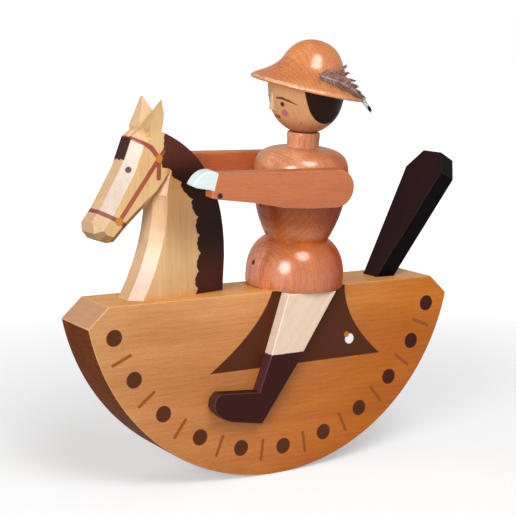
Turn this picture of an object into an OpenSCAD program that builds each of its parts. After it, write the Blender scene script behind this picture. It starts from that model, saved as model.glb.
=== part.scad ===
// Balancing rider: a jointed wooden rider behind a horse's head on a rocking board.
// Millimetres. X runs along the board, the horse faces -X, and Z points up.
// The origin is on the lowest line of the arc, halfway across the board.

/* [Rocking board] */
// Radius of the rocking arc
rocker_r = 100; // [90:1:120]
// Thickness of the board
rocker_t = 28.5; // [26:0.5:34]
// Height of the arc's centre above the deck
deck_drop = 12; // [6:0.5:18]
// Height of the slanting cut at each end of the deck
end_cut = 9; // [4:0.5:14]
// Length of that cut along the board
end_run = 9.8; // [5:0.2:14]

/* [Horse] */
// Thickness of the horse board
horse_t = 18; // [14:0.5:22]
// Turn of the horse board toward the near side
horse_yaw = 3; // [0:0.5:6]
// Height of the throat above the deck
throat_h = 46; // [42:0.5:48]
// Height of the ear tips above the deck
ear_h = 89.5; // [86:0.5:94]
// Depth of the notch between the ears
ear_notch = 7; // [4:0.2:8]
// How much lower the near ear ends than the far one
near_ear_drop = 1.8; // [0:0.2:3]
// Fall of the notch toward the face
ear_rake = 42; // [30:1:48]
// Width of the chamfer along face and neck
face_chamfer = 4.8; // [2:0.2:6]
// Thickness left at the back of the neck
crest_t = 8; // [5:0.2:12]
// Radius of the horse's two dowels
horse_dowel_r = 3; // [2:0.25:3.5]

/* [Rider] */
// Place of the rider along the board
seat_x = 16.2; // [10:0.5:22]
// Lean of the rider to the near side
seat_roll = 3.5; // [0:0.5:5]
// Lean of the rider toward the tail
seat_lean = 0.9; // [-1:0.1:2]
// Radius of the coat's skirt
skirt_r = 23.3; // [20:0.1:25]
// Radius of the chest
chest_r = 22.3; // [21.6:0.1:24]
// Height of the waist above the deck
waist_h = 22.4; // [19:0.2:26]
// Height of the collar's top above the deck
collar_h = 72.6; // [71.8:0.1:72.8]
// Radius of the dowel under the rider
seat_dowel_r = 5; // [3:0.25:6]
// Radius of the head
head_r = 17.3; // [15:0.1:17.5]
// How much further the upright side of the head stands out under the hat
head_flare = 0.95; // [0.3:0.05:1.2]
// Height of that side's top above the head's centre
head_side = 6.2; // [5:0.1:6.5]
// Height of the head's centre above the deck
head_h = 89.1; // [88.8:0.1:92]
// Turn of the face toward the far side
face_turn = 5.5; // [-30:0.5:30]
// Radius of the neck peg
neck_peg_r = 3; // [2:0.25:4]
// Running clearance round a turning peg
running_gap = 0.05; // [0.02:0.01:0.08]

/* [Arms] */
// Distance from the middle to the inner face of an arm
arm_in = 21.5; // [20:0.1:22]
// Thickness of an arm
arm_t = 6.5; // [5:0.25:8]
// Radius of the shoulder's round
shoulder_r = 8.8; // [7:0.1:10]
// Height of the shoulder joint above the deck
shoulder_h = 50.8; // [48:0.1:52]
// Distance from the rider's axis to the shoulder joint
shoulder_x = 2.5; // [0:0.1:4]
// Radius of the axle through the shoulders
axle_r = 4; // [2.5:0.25:5]
// Extra tilt of the axle, far end up, in degrees
axle_roll = 1.7; // [0:0.1:3]

/* [Legs] */
// Thickness of a leg
leg_t = 6.35; // [5:0.05:8]
// Radius of the leg dowels
leg_dowel_r = 2; // [1.25:0.25:2.5]
// How much further back the far leg sits than the near one
far_leg_back = 1.6; // [0:0.2:3]

/* [Hat] */
// Radius of the brim
brim_r = 27.5; // [24:0.1:30]
// Height of the crown above the head's centre
crown_h = 26.4; // [24:0.1:30]
// Tilt of the hat toward the tail
hat_back = 8.6; // [0:0.2:12]
// Tilt of the hat toward the near side
hat_side = 3.5; // [0:0.5:8]

/* [Tail] */
// Place of the tail along the board
tail_x = 61.1; // [56:0.1:66]
// Lean of the tail away from the rider
tail_lean = 31.3; // [20:0.1:40]
// Thickness of the tail
tail_t = 8.6; // [7:0.1:12]
// Length of the tail up to its shoulders
tail_len = 60.4; // [50:0.1:70]
// Length of the tail above its shoulders
tail_top = 10.1; // [4:0.1:16]
// Width of the tail at its foot
tail_w0 = 11.1; // [9:0.1:16]
// Width of the tail at its shoulders
tail_w1 = 28.5; // [20:0.1:34]
// Width of the tail at its top
tail_w2 = 14.2; // [8:0.1:20]
// Radius of the tail's dowel
tail_dowel_r = 2.5; // [1.5:0.25:3]

/* [Show] */
// Piece to show

/* [Hidden] */
$fn = 96;
honey = [0.80, 0.55, 0.30];
maple = [0.88, 0.72, 0.50];
coat_red = [0.78, 0.38, 0.24];
mane_brown = [0.20, 0.10, 0.08];
white_paint = [0.93, 0.93, 0.90];
eps = 1;
deck_z = rocker_r - deck_drop;
corner_x = sqrt(rocker_r * rocker_r - pow(deck_drop + end_cut, 2));
deck_half = corner_x - end_run;
horse_x = -48;
horse_y = 1.2;
foot_reach = 13;
throat_x = -61.5;
crest_x = -23.4;
taper_x = -57;
horse_dowel_x = [-61, -38];
dowel_down = 15;
dowel_up = 16;
seat_up = 18;
flat_gap = 0.15;
glue_gap = 0.04;
neck_bore_z = 58;
neck_peg_top = 80;
leg_peg_in = 8;
leg_peg_out = 4;
leg_pegs = [[8, -14], [-14, -52]];
axle_in_arm = 4.5;
quill_r = 0.6;
quill_from = [18.5, -100, 12.4];
quill_to = [30, -48, 6.9];

// Points of a circular or elliptic arc from angle a0 to a1
function arc(c, a, b, a0, a1, n) =
    [for (i = [0:n]) let (t = a0 + (a1 - a0) * i / n) [c[0] + a * cos(t), c[1] + b * sin(t)]];

// Points of a smooth curve with two guide points
function curve(p, q, r, s, n) =
    [for (i = [0:n]) let (t = i / n, u = 1 - t)
        p * u * u * u + 3 * q * u * u * t + 3 * r * u * t * t + s * t * t * t];

// Front of the neck at a height above the deck
function neck_front(z) = [throat_x - foot_reach * pow(1 - z / throat_h, 2), z];

// A point given by radius, angle and height
function polar(p) = [p[0] * cos(p[1]), p[0] * sin(p[1]), p[2]];

// Outline of the horse: neck, jaw, muzzle, face, ear, crest
neck_pts = [for (i = [0:6]) neck_front(throat_h * i / 6)];
head_pts = [
    [-66.4, 42.2], [-76.4, 33.4], [-82.4, 27.2], [-86, 26.7], [-89.3, 28], [-91.9, 31.3],
    [-92.3, 36.1], [-88.1, 41.6], [-77.8, 59.2], [-72.9, 71.9], [-69.1, 75], [-66.8, 75.8]
];
ear_pts = [[-60.4, ear_h], [-58.9, ear_h - 7.5]];
crest_pts = curve([-60, 74.6], [-46.9, 69.3], [crest_x, 57], [crest_x, 16], 16);
horse_pts = concat(neck_pts, head_pts, ear_pts, crest_pts, [[crest_x - 0.8, 0]]);

// Outline of an arm seen from the near side, from its joint
arm_pts = concat(
    [[0, shoulder_r], [-63.7, 8.8]],
    curve([-63.7, 8.8], [-66, 10.6], [-72.8, 10.8], [-75.8, 3.4], 10),
    [
        [-73.7, 2.5], [-65.9, 1.3], [-66.1, -2.2], [-61, -3.1], [-44.3, -5], [-28.1, -7.9],
        [-14, -shoulder_r], [0, -shoulder_r]
    ]
);

// Outline of a leg with its boot
leg_pts = [
    [0.7, 0], [-8.2, -28.4], [-14.4, -45.5], [-35.2, -43.9], [-37.8, -46.4], [-38.4, -50.2],
    [-37, -52.8], [-33.4, -56], [-29.2, -57.7], [-12.8, -60.6], [5.6, -34.8], [9.4, -28.5], [27.9, 0]
];

// Profile of the coat, from skirt to collar
coat_pts = concat(
    [[0, -4], [skirt_r - 0.4, -4]],
    arc([skirt_r - 12.4, 5.6], 12.4, waist_h - 4.8, 0, 72, 14),
    arc([chest_r - 57.6, 52], 57.6, 60, -29.6, 0, 14),
    curve([chest_r, 52], [chest_r + 0.4, 61.5], [19.5, 64.8], [8.2, 65.6], 12),
    curve([7.6, 66.2], [7.2, 68.6], [8.1, 70.2], [7.5, collar_h], 6),
    [[6.2, collar_h], [5.4, collar_h - 1.7], [0, collar_h - 1.7]]
);

// Profile of the hat, from the head's centre
hat_pts = concat(
    [[0, 3.4]],
    arc([brim_r - 0.9, 4.3], 0.9, 0.9, -90, 60, 5),
    curve([brim_r - 0.8, 5.5], [21.5, 8.9], [16.6, 10.8], [14.2, 16.4], 12),
    curve([14.2, 16.4], [12.3, 20.8], [8.6, crown_h], [0, crown_h], 10)
);

// Stands a flat outline on edge, centred across the board
module board(pts, t) {
    rotate([90, 0, 0])
        linear_extrude(t, center = true)
            polygon(pts);
}

// Cuts both long edges of the horse board from p to q
module edge_cut(p, q, c) {
    d = q - p;
    for (side = [0, 1])
        mirror([0, side, 0])
            translate([p[0], 0, p[1]])
                rotate([0, -atan2(d[1], d[0]), 0])
                    translate([-0.4, 0, 0])
                        rotate([90, 0, 90])
                            linear_extrude(norm(d) + 0.8)
                                polygon([
                                    [horse_t / 2 - c - eps, eps],
                                    [horse_t / 2 + eps, eps],
                                    [horse_t / 2 + eps, -c - eps]
                                ]);
}

// Wedge between cheek and neck, running out at the cheek's upper end
module cheek_hollow() {
    inner = [throat_x - 0.8, horse_t / 2 - face_chamfer, throat_h - 0.6];
    rim = [[-68.4, horse_t / 2, 41.6], [-54.6, horse_t / 2, 58.4], [-57.6, horse_t / 2, 45]];
    out = (face_chamfer + eps) / face_chamfer;
    polyhedron(
        concat([inner], [for (r = rim) inner + (r - inner) * out]),
        [[1, 2, 3], [0, 2, 1], [0, 3, 2], [0, 1, 3]]
    );
}

// Puts its children on the horse's footing
module at_horse() {
    translate([horse_x, horse_y, deck_z])
        rotate([0, 0, horse_yaw])
            translate([-horse_x, 0, 0])
                children();
}

// Puts its children on the rider's axis
module at_seat() {
    translate([seat_x, 0, deck_z])
        rotate([0, seat_lean, 0])
            rotate([seat_roll, 0, 0])
                children();
}

// Puts its children on the shoulder axle, with Y along it
module at_axle() {
    at_seat()
        translate([shoulder_x, 0, shoulder_h])
            rotate([axle_roll, 0, 0])
                children();
}

// Puts its children at the head's centre, in the hat's tilt
module at_hat() {
    at_seat()
        translate([0, 0, head_h])
            rotate([0, hat_back, 0])
                rotate([hat_side, 0, 0])
                    children();
}

// Puts its children on the tail's lean
module at_tail() {
    translate([tail_x, 0, deck_z])
        rotate([0, tail_lean, 0])
            children();
}

module horse_dowels() {
    color(maple)
        at_horse()
            for (x = horse_dowel_x)
                translate([x, 0, -dowel_down])
                    cylinder(r = horse_dowel_r, h = dowel_down + dowel_up);
}

module tail_dowel() {
    color(maple)
        at_tail()
            translate([tail_t / 2, 0, -dowel_down])
                cylinder(r = tail_dowel_r, h = dowel_down + dowel_up);
}

module torso_dowel() {
    color(maple)
        translate([seat_x, 0, deck_z - dowel_down])
            cylinder(r = seat_dowel_r, h = dowel_down + seat_up);
}

module near_leg_dowels() {
    color(maple)
        for (p = leg_pegs)
            translate([p[0], leg_peg_in - rocker_t / 2, deck_z + p[1]])
                rotate([90, 0, 0])
                    cylinder(r = leg_dowel_r, h = leg_peg_in + leg_peg_out);
}

// Puts a near leg's piece in its place on the far side
module far_side() {
    translate([far_leg_back, 0, 0])
        mirror([0, 1, 0])
            children();
}

module far_leg_dowels() {
    far_side()
        near_leg_dowels();
}

module rocker_board() {
    color(honey)
        difference() {
            intersection() {
                translate([0, 0, rocker_r])
                    rotate([90, 0, 0])
                        cylinder(r = rocker_r, h = rocker_t, center = true, $fn = 192);
                board([
                    [-deck_half, deck_z],
                    [deck_half, deck_z],
                    [deck_half + 2 * end_run, deck_z - 2 * end_cut],
                    [deck_half + 2 * end_run, -eps],
                    [-deck_half - 2 * end_run, -eps],
                    [-deck_half - 2 * end_run, deck_z - 2 * end_cut]
                ], rocker_t + 2 * eps);
            }
            horse_dowels();
            tail_dowel();
            torso_dowel();
            near_leg_dowels();
            far_leg_dowels();
        }
}

module horse() {
    color(maple)
        difference() {
            at_horse()
                difference() {
                    board(horse_pts, horse_t);
                    for (i = [0:5])
                        edge_cut(neck_pts[i], neck_pts[i + 1], face_chamfer);
                    for (i = [6:10])
                        edge_cut(head_pts[i], head_pts[i + 1], face_chamfer);
                    for (i = [3:5])
                        edge_cut(head_pts[i], head_pts[i + 1], face_chamfer - 1.4);
                    edge_cut(neck_pts[6], head_pts[0], face_chamfer - 2);
                    for (i = [0:2])
                        edge_cut(head_pts[i], head_pts[i + 1], face_chamfer - 2);
                    // Hollow under the cheek
                    for (side = [0, 1])
                        mirror([0, side, 0])
                            cheek_hollow();
                    // Ears, parted by a groove that falls toward the face
                    translate([ear_pts[0][0] + 0.9, 0, ear_h - ear_notch])
                        rotate([0, -ear_rake, 0])
                            rotate([90, 0, 90])
                                linear_extrude(40, center = true)
                                    polygon([
                                        [0, 0],
                                        [horse_t, 2 * ear_notch * horse_t / (horse_t - 1)],
                                        [-horse_t, 2 * (ear_notch - near_ear_drop)]
                                    ]);
                    // Taper of the neck toward its back
                    for (side = [0, 1])
                        mirror([0, side, 0])
                            translate([0, 0, -eps])
                                linear_extrude(100)
                                    polygon([
                                        [taper_x, horse_t / 2],
                                        [crest_x, crest_t / 2],
                                        [crest_x + eps, crest_t / 2],
                                        [crest_x + eps, horse_t],
                                        [taper_x, horse_t]
                                    ]);
                }
            horse_dowels();
        }
}

module tail() {
    w0 = tail_w0 / 2 - tail_t / 2 * (tail_w1 - tail_w0) / tail_len;
    color(mane_brown)
        difference() {
            at_tail()
                rotate([90, 0, 90])
                    linear_extrude(tail_t)
                        polygon([
                            [-w0, -tail_t],
                            [w0, -tail_t],
                            [tail_w1 / 2, tail_len],
                            [tail_w2 / 2, tail_len + tail_top],
                            [-tail_w2 / 2, tail_len + tail_top],
                            [-tail_w1 / 2, tail_len]
                        ]);
            translate([tail_x - 20, -20, deck_z - 20])
                cube([60, 40, 20]);
            tail_dowel();
        }
}

module arm_axle() {
    half = arm_in + axle_in_arm;
    color(maple)
        at_axle()
            rotate([90, 0, 0])
                cylinder(r = axle_r, h = 2 * half, center = true);
}

// Space under the rider where the coat hangs over the near edge
module below_seat() {
    intersection() {
        at_seat()
            translate([-40, -40, -20])
                cube([80, 80, 20]);
        translate([seat_x - 40, -60, deck_z - 20])
            cube([80, 60, 20]);
    }
}

module torso() {
    color(coat_red)
        difference() {
            at_seat()
                rotate_extrude()
                    polygon(coat_pts);
            // Flats for the arms, and the hole between them
            at_axle() {
                for (side = [-1, 1])
                    translate([-30, side * (arm_in - flat_gap + 5) - 5, -14])
                        cube([60, 10, 40]);
                rotate([90, 0, 0])
                    cylinder(r = axle_r + running_gap, h = 80, center = true);
            }
            at_seat()
                translate([0, 0, neck_bore_z])
                    cylinder(r = neck_peg_r + running_gap, h = 30);
            // Underside: on the deck, and square to the rider where it overhangs the near edge
            translate([seat_x - 40, -rocker_t / 2, deck_z - 20])
                cube([80, 80, 20]);
            below_seat();
            torso_dowel();
        }
}

// The near arm on the axle
module arm_board() {
    translate([0, -arm_in - arm_t / 2, 0])
        difference() {
            union() {
                board(arm_pts, arm_t);
                rotate([90, 0, 0])
                    cylinder(r = shoulder_r, h = arm_t, center = true);
            }
            translate([0, arm_t / 2 + eps, 0])
                rotate([90, 0, 0])
                    cylinder(r = axle_r, h = axle_in_arm + eps);
        }
}

module near_arm() {
    color(coat_red)
        at_axle()
            arm_board();
}

module far_arm() {
    color(coat_red)
        at_axle()
            mirror([0, 1, 0])
                arm_board();
}

module leg_board() {
    difference() {
        translate([0, -(rocker_t + leg_t) / 2, deck_z])
            board(leg_pts, leg_t);
        near_leg_dowels();
    }
}

module near_leg() {
    color(maple)
        difference() {
            leg_board();
            // Room for the coat that hangs over the near edge
            at_seat()
                translate([-40, -40, 0])
                    cube([80, 40, 20]);
        }
}

module far_leg() {
    color(maple)
        far_side()
            leg_board();
}

module neck_peg() {
    color(maple)
        at_seat()
            translate([0, 0, neck_bore_z])
                cylinder(r = neck_peg_r, h = neck_peg_top - neck_bore_z);
}

// The ball with its upright side, grown by a gap
module head_form(gap) {
    wide = head_r + head_flare;
    narrow = sqrt(head_r * head_r - 9) - 0.05;
    at_seat()
        translate([0, 0, head_h]) {
            sphere(r = head_r + gap);
            rotate_extrude()
                polygon([
                    [0, -3],
                    for (t = [0:0.2:1])
                        [
                            wide + gap - (wide - narrow) * (1 - t) * (1 - t),
                            -3 * (1 - t) * (1 - t) + 4 * t * (1 - t) + (head_side + gap) * t * t
                        ],
                    [0, head_side + gap]
                ]);
        }
}

module head() {
    color(maple)
        difference() {
            head_form(0);
            neck_peg();
        }
}

module nose() {
    color(maple)
        difference() {
            at_seat()
                translate([0, 0, head_h])
                    rotate([90, 0, -face_turn])
                        linear_extrude(2.8, center = true)
                            polygon([
                                [-head_r + 2, 2],
                                [-head_r - 1.2, 1.6],
                                [-head_r - 1, -5.8],
                                [-head_r + 1, -6.4],
                                [-head_r + 2, -6.4]
                            ]);
            head_form(glue_gap);
        }
}

// The quill's stub, which is glued into the crown
module quill_stub() {
    rotate([0, 0, quill_from[1]])
        translate([quill_from[0] - 6, 0, quill_from[2]])
            rotate([0, 90, 0])
                cylinder(r = quill_r, h = 6);
}

module hat() {
    color(coat_red)
        difference() {
            at_hat()
                rotate_extrude()
                    polygon(hat_pts);
            head_form(glue_gap);
            at_hat()
                quill_stub();
        }
}

module feather() {
    p = polar(quill_from);
    d = polar(quill_to) - p;
    color(white_paint)
        at_hat() {
            quill_stub();
            translate(p)
                rotate([0, 0, atan2(d[1], d[0])])
                    rotate([0, atan2(norm([d[0], d[1]]), d[2]), 0]) {
                        sphere(r = 1.3 * quill_r);
                        cylinder(r = quill_r, h = norm(d));
                        // Vane
                        rotate([0, 0, -20])
                            translate([0, -0.4, 6])
                                rotate([90, 0, 0])
                                    translate([0, 0, -0.8])
                                        linear_extrude(0.8)
                                            polygon([
                                                [0, 0], [-6, 3], [-7, 12], [-4, norm(d) - 7], [0, norm(d) - 6]
                                            ]);
                    }
        }
}

rocker_board();
horse();
horse_dowels();
tail();
tail_dowel();
torso();
torso_dowel();
near_leg();
far_leg();
near_leg_dowels();
far_leg_dowels();
arm_axle();
near_arm();
far_arm();
head();
neck_peg();
nose();
hat();
feather();
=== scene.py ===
"""Balancing rider toy: carved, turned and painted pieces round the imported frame."""

import logging
import math
import random
from collections.abc import Callable, Sequence
from dataclasses import dataclass, field, replace
from enum import Enum

import bmesh
import bpy
from mathutils import Matrix, Vector


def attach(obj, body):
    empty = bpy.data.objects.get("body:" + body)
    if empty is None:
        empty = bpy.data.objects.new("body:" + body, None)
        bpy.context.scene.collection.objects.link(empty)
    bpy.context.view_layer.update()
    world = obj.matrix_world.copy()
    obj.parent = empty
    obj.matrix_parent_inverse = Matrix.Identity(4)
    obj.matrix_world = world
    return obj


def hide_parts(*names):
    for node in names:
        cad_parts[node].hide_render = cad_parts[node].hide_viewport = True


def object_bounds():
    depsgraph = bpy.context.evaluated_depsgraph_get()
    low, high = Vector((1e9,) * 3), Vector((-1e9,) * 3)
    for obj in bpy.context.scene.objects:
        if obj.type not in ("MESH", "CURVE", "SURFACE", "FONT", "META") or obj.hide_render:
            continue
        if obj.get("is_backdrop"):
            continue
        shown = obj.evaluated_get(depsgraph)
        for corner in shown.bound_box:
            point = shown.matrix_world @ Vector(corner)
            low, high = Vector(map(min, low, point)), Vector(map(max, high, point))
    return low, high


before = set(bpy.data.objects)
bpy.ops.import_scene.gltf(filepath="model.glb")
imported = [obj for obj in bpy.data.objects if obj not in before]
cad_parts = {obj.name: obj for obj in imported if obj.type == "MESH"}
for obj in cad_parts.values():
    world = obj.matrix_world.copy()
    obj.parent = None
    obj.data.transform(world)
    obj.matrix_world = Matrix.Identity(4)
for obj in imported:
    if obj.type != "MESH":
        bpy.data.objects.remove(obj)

MM = 0.001
Colour = tuple[float, float, float]
Point2 = tuple[float, float]
Point3 = tuple[float, float, float]
Socket = bpy.types.NodeSocket
Value = Socket | float
Mesh = bmesh.types.BMesh
Material = bpy.types.Material
logging.basicConfig(level=logging.INFO, format="%(message)s")
log = logging.getLogger("rider")


class Body(Enum):
    """The frame's bodies."""

    TOY = "toy"
    ARMS = "arms"
    HEAD = "head"


class Slot(Enum):
    """The record's material slots."""

    HONEY = "honey_wood"
    MAPLE = "pale_maple"
    LEG = "leg_wood"
    COAT = "coat_stain"
    DARK = "dark_paint"
    DOWEL = "dowel_wood"
    FEATHER = "feather"


# Places, in millimetres, of the frames that the pieces are built in


def place(x: float, y: float, z: float, *turns: tuple[str, float]) -> Matrix:
    """Matrix that puts a piece at a point, turned about its own axes.

    Args:
        x: Distance along the board.
        y: Distance across the board.
        z: Height.
        turns: Axis name and degrees, outermost first.

    Returns:
        The matrix, with lengths in millimetres.
    """
    made = Matrix.Translation((x, y, z))
    for axis, degrees in turns:
        made = made @ Matrix.Rotation(math.radians(degrees), 4, axis)
    return made


DECK = 88.0
UP = Vector((0, 0, 1))
OUT = Vector((0, 1, 0))
WORLD = Matrix.Identity(4)
GRAIN_X = place(0, 0, 0, ("Y", 90.0))
BOARD_FRAME = place(0, 0, 100)
HORSE_FRAME = place(-48, 1.2, DECK, ("Z", 3.0)) @ Matrix.Translation((48, 0, 0))
SEAT_FRAME = place(16.2, 0, DECK, ("Y", 0.9), ("X", 3.5))
AXLE_FRAME = SEAT_FRAME @ place(2.5, 0, 50.8, ("X", 1.7))
HEAD_FRAME = SEAT_FRAME @ place(0, 0, 89.1)
HAT_FRAME = HEAD_FRAME @ place(0, 0, 0, ("Y", 8.6), ("X", 3.5))
DECK_FRAME = place(0, 0, DECK)
TAIL_FRAME = place(61.1, 0, DECK, ("Y", 31.3))


# Outlines


def arc(centre: Point2, a: float, b: float, start: float, end: float, steps: int) -> list[Point2]:
    """Points of an elliptic arc between two angles in degrees.

    Args:
        centre: Middle of the ellipse.
        a: Half its width.
        b: Half its height.
        start: First angle.
        end: Last angle.
        steps: Number of stretches.

    Returns:
        The points in order.
    """
    made = []
    for i in range(steps + 1):
        t = math.radians(start + (end - start) * i / steps)
        made.append((centre[0] + a * math.cos(t), centre[1] + b * math.sin(t)))
    return made


def curve(p: Point2, q: Point2, r: Point2, s: Point2, steps: int) -> list[Point2]:
    """Points of a smooth curve from p to s with guide points q and r.

    Args:
        p: First point.
        q: Guide of the start.
        r: Guide of the end.
        s: Last point.
        steps: Number of stretches.

    Returns:
        The points in order.
    """
    made = []
    for i in range(steps + 1):
        t = i / steps
        w = ((1 - t) ** 3, 3 * t * (1 - t) ** 2, 3 * t * t * (1 - t), t**3)
        made.append(tuple(sum(k * c[j] for k, c in zip(w, (p, q, r, s))) for j in (0, 1)))
    return made


# Node trees


class Sheet:
    """A node tree, with short calls for the nodes that the finishes use."""

    def __init__(self, tree: bpy.types.NodeTree) -> None:
        """Keeps the tree."""
        self.tree = tree

    def add(self, kind: str, **settings: object) -> bpy.types.Node:
        """A new node with its settings.

        Args:
            kind: Blender's name of the node.
            settings: Its properties.

        Returns:
            The node.
        """
        node = self.tree.nodes.new(kind)
        for name, value in settings.items():
            setattr(node, name, value)
        return node

    def plug(self, value: object, socket: Socket) -> None:
        """Links a socket, or sets a constant."""
        if isinstance(value, Socket):
            self.tree.links.new(value, socket)
        elif socket.type == "RGBA" and len(value) == 3:
            socket.default_value = (*value, 1.0)
        else:
            socket.default_value = value

    def calc(self, operation: str, *values: Value, clamp: bool = False) -> Socket:
        """A number worked out from others."""
        node = self.add("ShaderNodeMath", operation=operation, use_clamp=clamp)
        for value, socket in zip(values, node.inputs):
            self.plug(value, socket)
        return node.outputs[0]

    def times(self, first: Value, *others: Value, clamp: bool = False) -> Socket:
        """The product of numbers."""
        for value in others:
            first = self.calc("MULTIPLY", first, value, clamp=clamp)
        return first

    def plus(self, first: Value, *others: Value, clamp: bool = False) -> Socket:
        """The sum of numbers."""
        for value in others:
            first = self.calc("ADD", first, value, clamp=clamp)
        return first

    def minus(self, first: Value, second: Value) -> Socket:
        """A number less another."""
        return self.calc("SUBTRACT", first, second)

    def muladd(self, value: Value, factor: Value, added: Value, clamp: bool = False) -> Socket:
        """A number times a factor, plus another number."""
        return self.calc("MULTIPLY_ADD", value, factor, added, clamp=clamp)

    def read(self, name: str) -> Socket:
        """The number that the mesh carries under a name."""
        return self.add("ShaderNodeAttribute", attribute_name=name).outputs["Fac"]

    def scaled(self, vector: object, factor: Value) -> Socket:
        """A vector or colour times a number."""
        node = self.add("ShaderNodeVectorMath", operation="SCALE")
        self.plug(vector, node.inputs[0])
        self.plug(factor, node.inputs["Scale"])
        return node.outputs[0]

    def vector(self, operation: str, *values: object) -> Socket:
        """A vector, or a number for a length, worked out from vectors."""
        node = self.add("ShaderNodeVectorMath", operation=operation)
        for value, socket in zip(values, node.inputs):
            self.plug(value, socket)
        number = operation in ("LENGTH", "DISTANCE", "DOT_PRODUCT")
        return node.outputs["Value" if number else "Vector"]

    def parts(self, vector: Socket) -> tuple[Socket, ...]:
        """The three numbers of a vector."""
        node = self.add("ShaderNodeSeparateXYZ")
        self.plug(vector, node.inputs[0])
        return tuple(node.outputs)

    def joined(self, x: Value, y: Value, z: Value) -> Socket:
        """A vector of three numbers."""
        node = self.add("ShaderNodeCombineXYZ")
        for value, socket in zip((x, y, z), node.inputs):
            self.plug(value, socket)
        return node.outputs[0]

    def noise(self, at: Socket, scale: float, detail: float = 2.0, stray: float = 0.0) -> Socket:
        """Smooth noise from 0 to 1.

        Args:
            at: Where it is read.
            scale: Patches for each unit of length.
            detail: Finer layers.
            stray: How far the patches are bent.

        Returns:
            The noise.
        """
        node = self.add("ShaderNodeTexNoise")
        for name, value in (("Vector", at), ("Scale", scale), ("Detail", detail), ("Distortion", stray)):
            self.plug(value, node.inputs[name])
        return node.outputs[0]

    def step(self, value: Value, low: Value, high: Value, start: float = 0.0, end: float = 1.0) -> Socket:
        """Goes smoothly from start to end as value goes from low to high."""
        node = self.add("ShaderNodeMapRange", interpolation_type="SMOOTHSTEP")
        for socket, given in zip(node.inputs, (value, low, high, start, end)):
            self.plug(given, socket)
        return node.outputs[0]

    def band(self, value: Value, low: Value, high: Value, soft: float) -> Socket:
        """1 between low and high, 0 outside, with soft ends."""
        up = self.step(self.calc("SUBTRACT", value, low), -soft, soft)
        down = self.step(self.calc("SUBTRACT", high, value), -soft, soft)
        return self.calc("MULTIPLY", up, down)

    def blend(self, mask: Value, under: object, over: object, mode: str = "MIX") -> Socket:
        """Lays a colour over another where the mask is."""
        node = self.add("ShaderNodeMix", data_type="RGBA", blend_type=mode)
        for value, i in ((mask, 0), (under, 6), (over, 7)):
            self.plug(value, node.inputs[i])
        return node.outputs[2]

    def group(self, tree: bpy.types.NodeTree, **values: object) -> bpy.types.Node:
        """Places a shared group with its own values.

        Args:
            tree: The group.
            values: Its inputs by name, with _ for a space.

        Returns:
            The node.
        """
        node = self.add("ShaderNodeGroup", node_tree=tree)
        for name, value in values.items():
            self.plug(value, node.inputs[name.replace("_", " ")])
        return node


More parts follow.
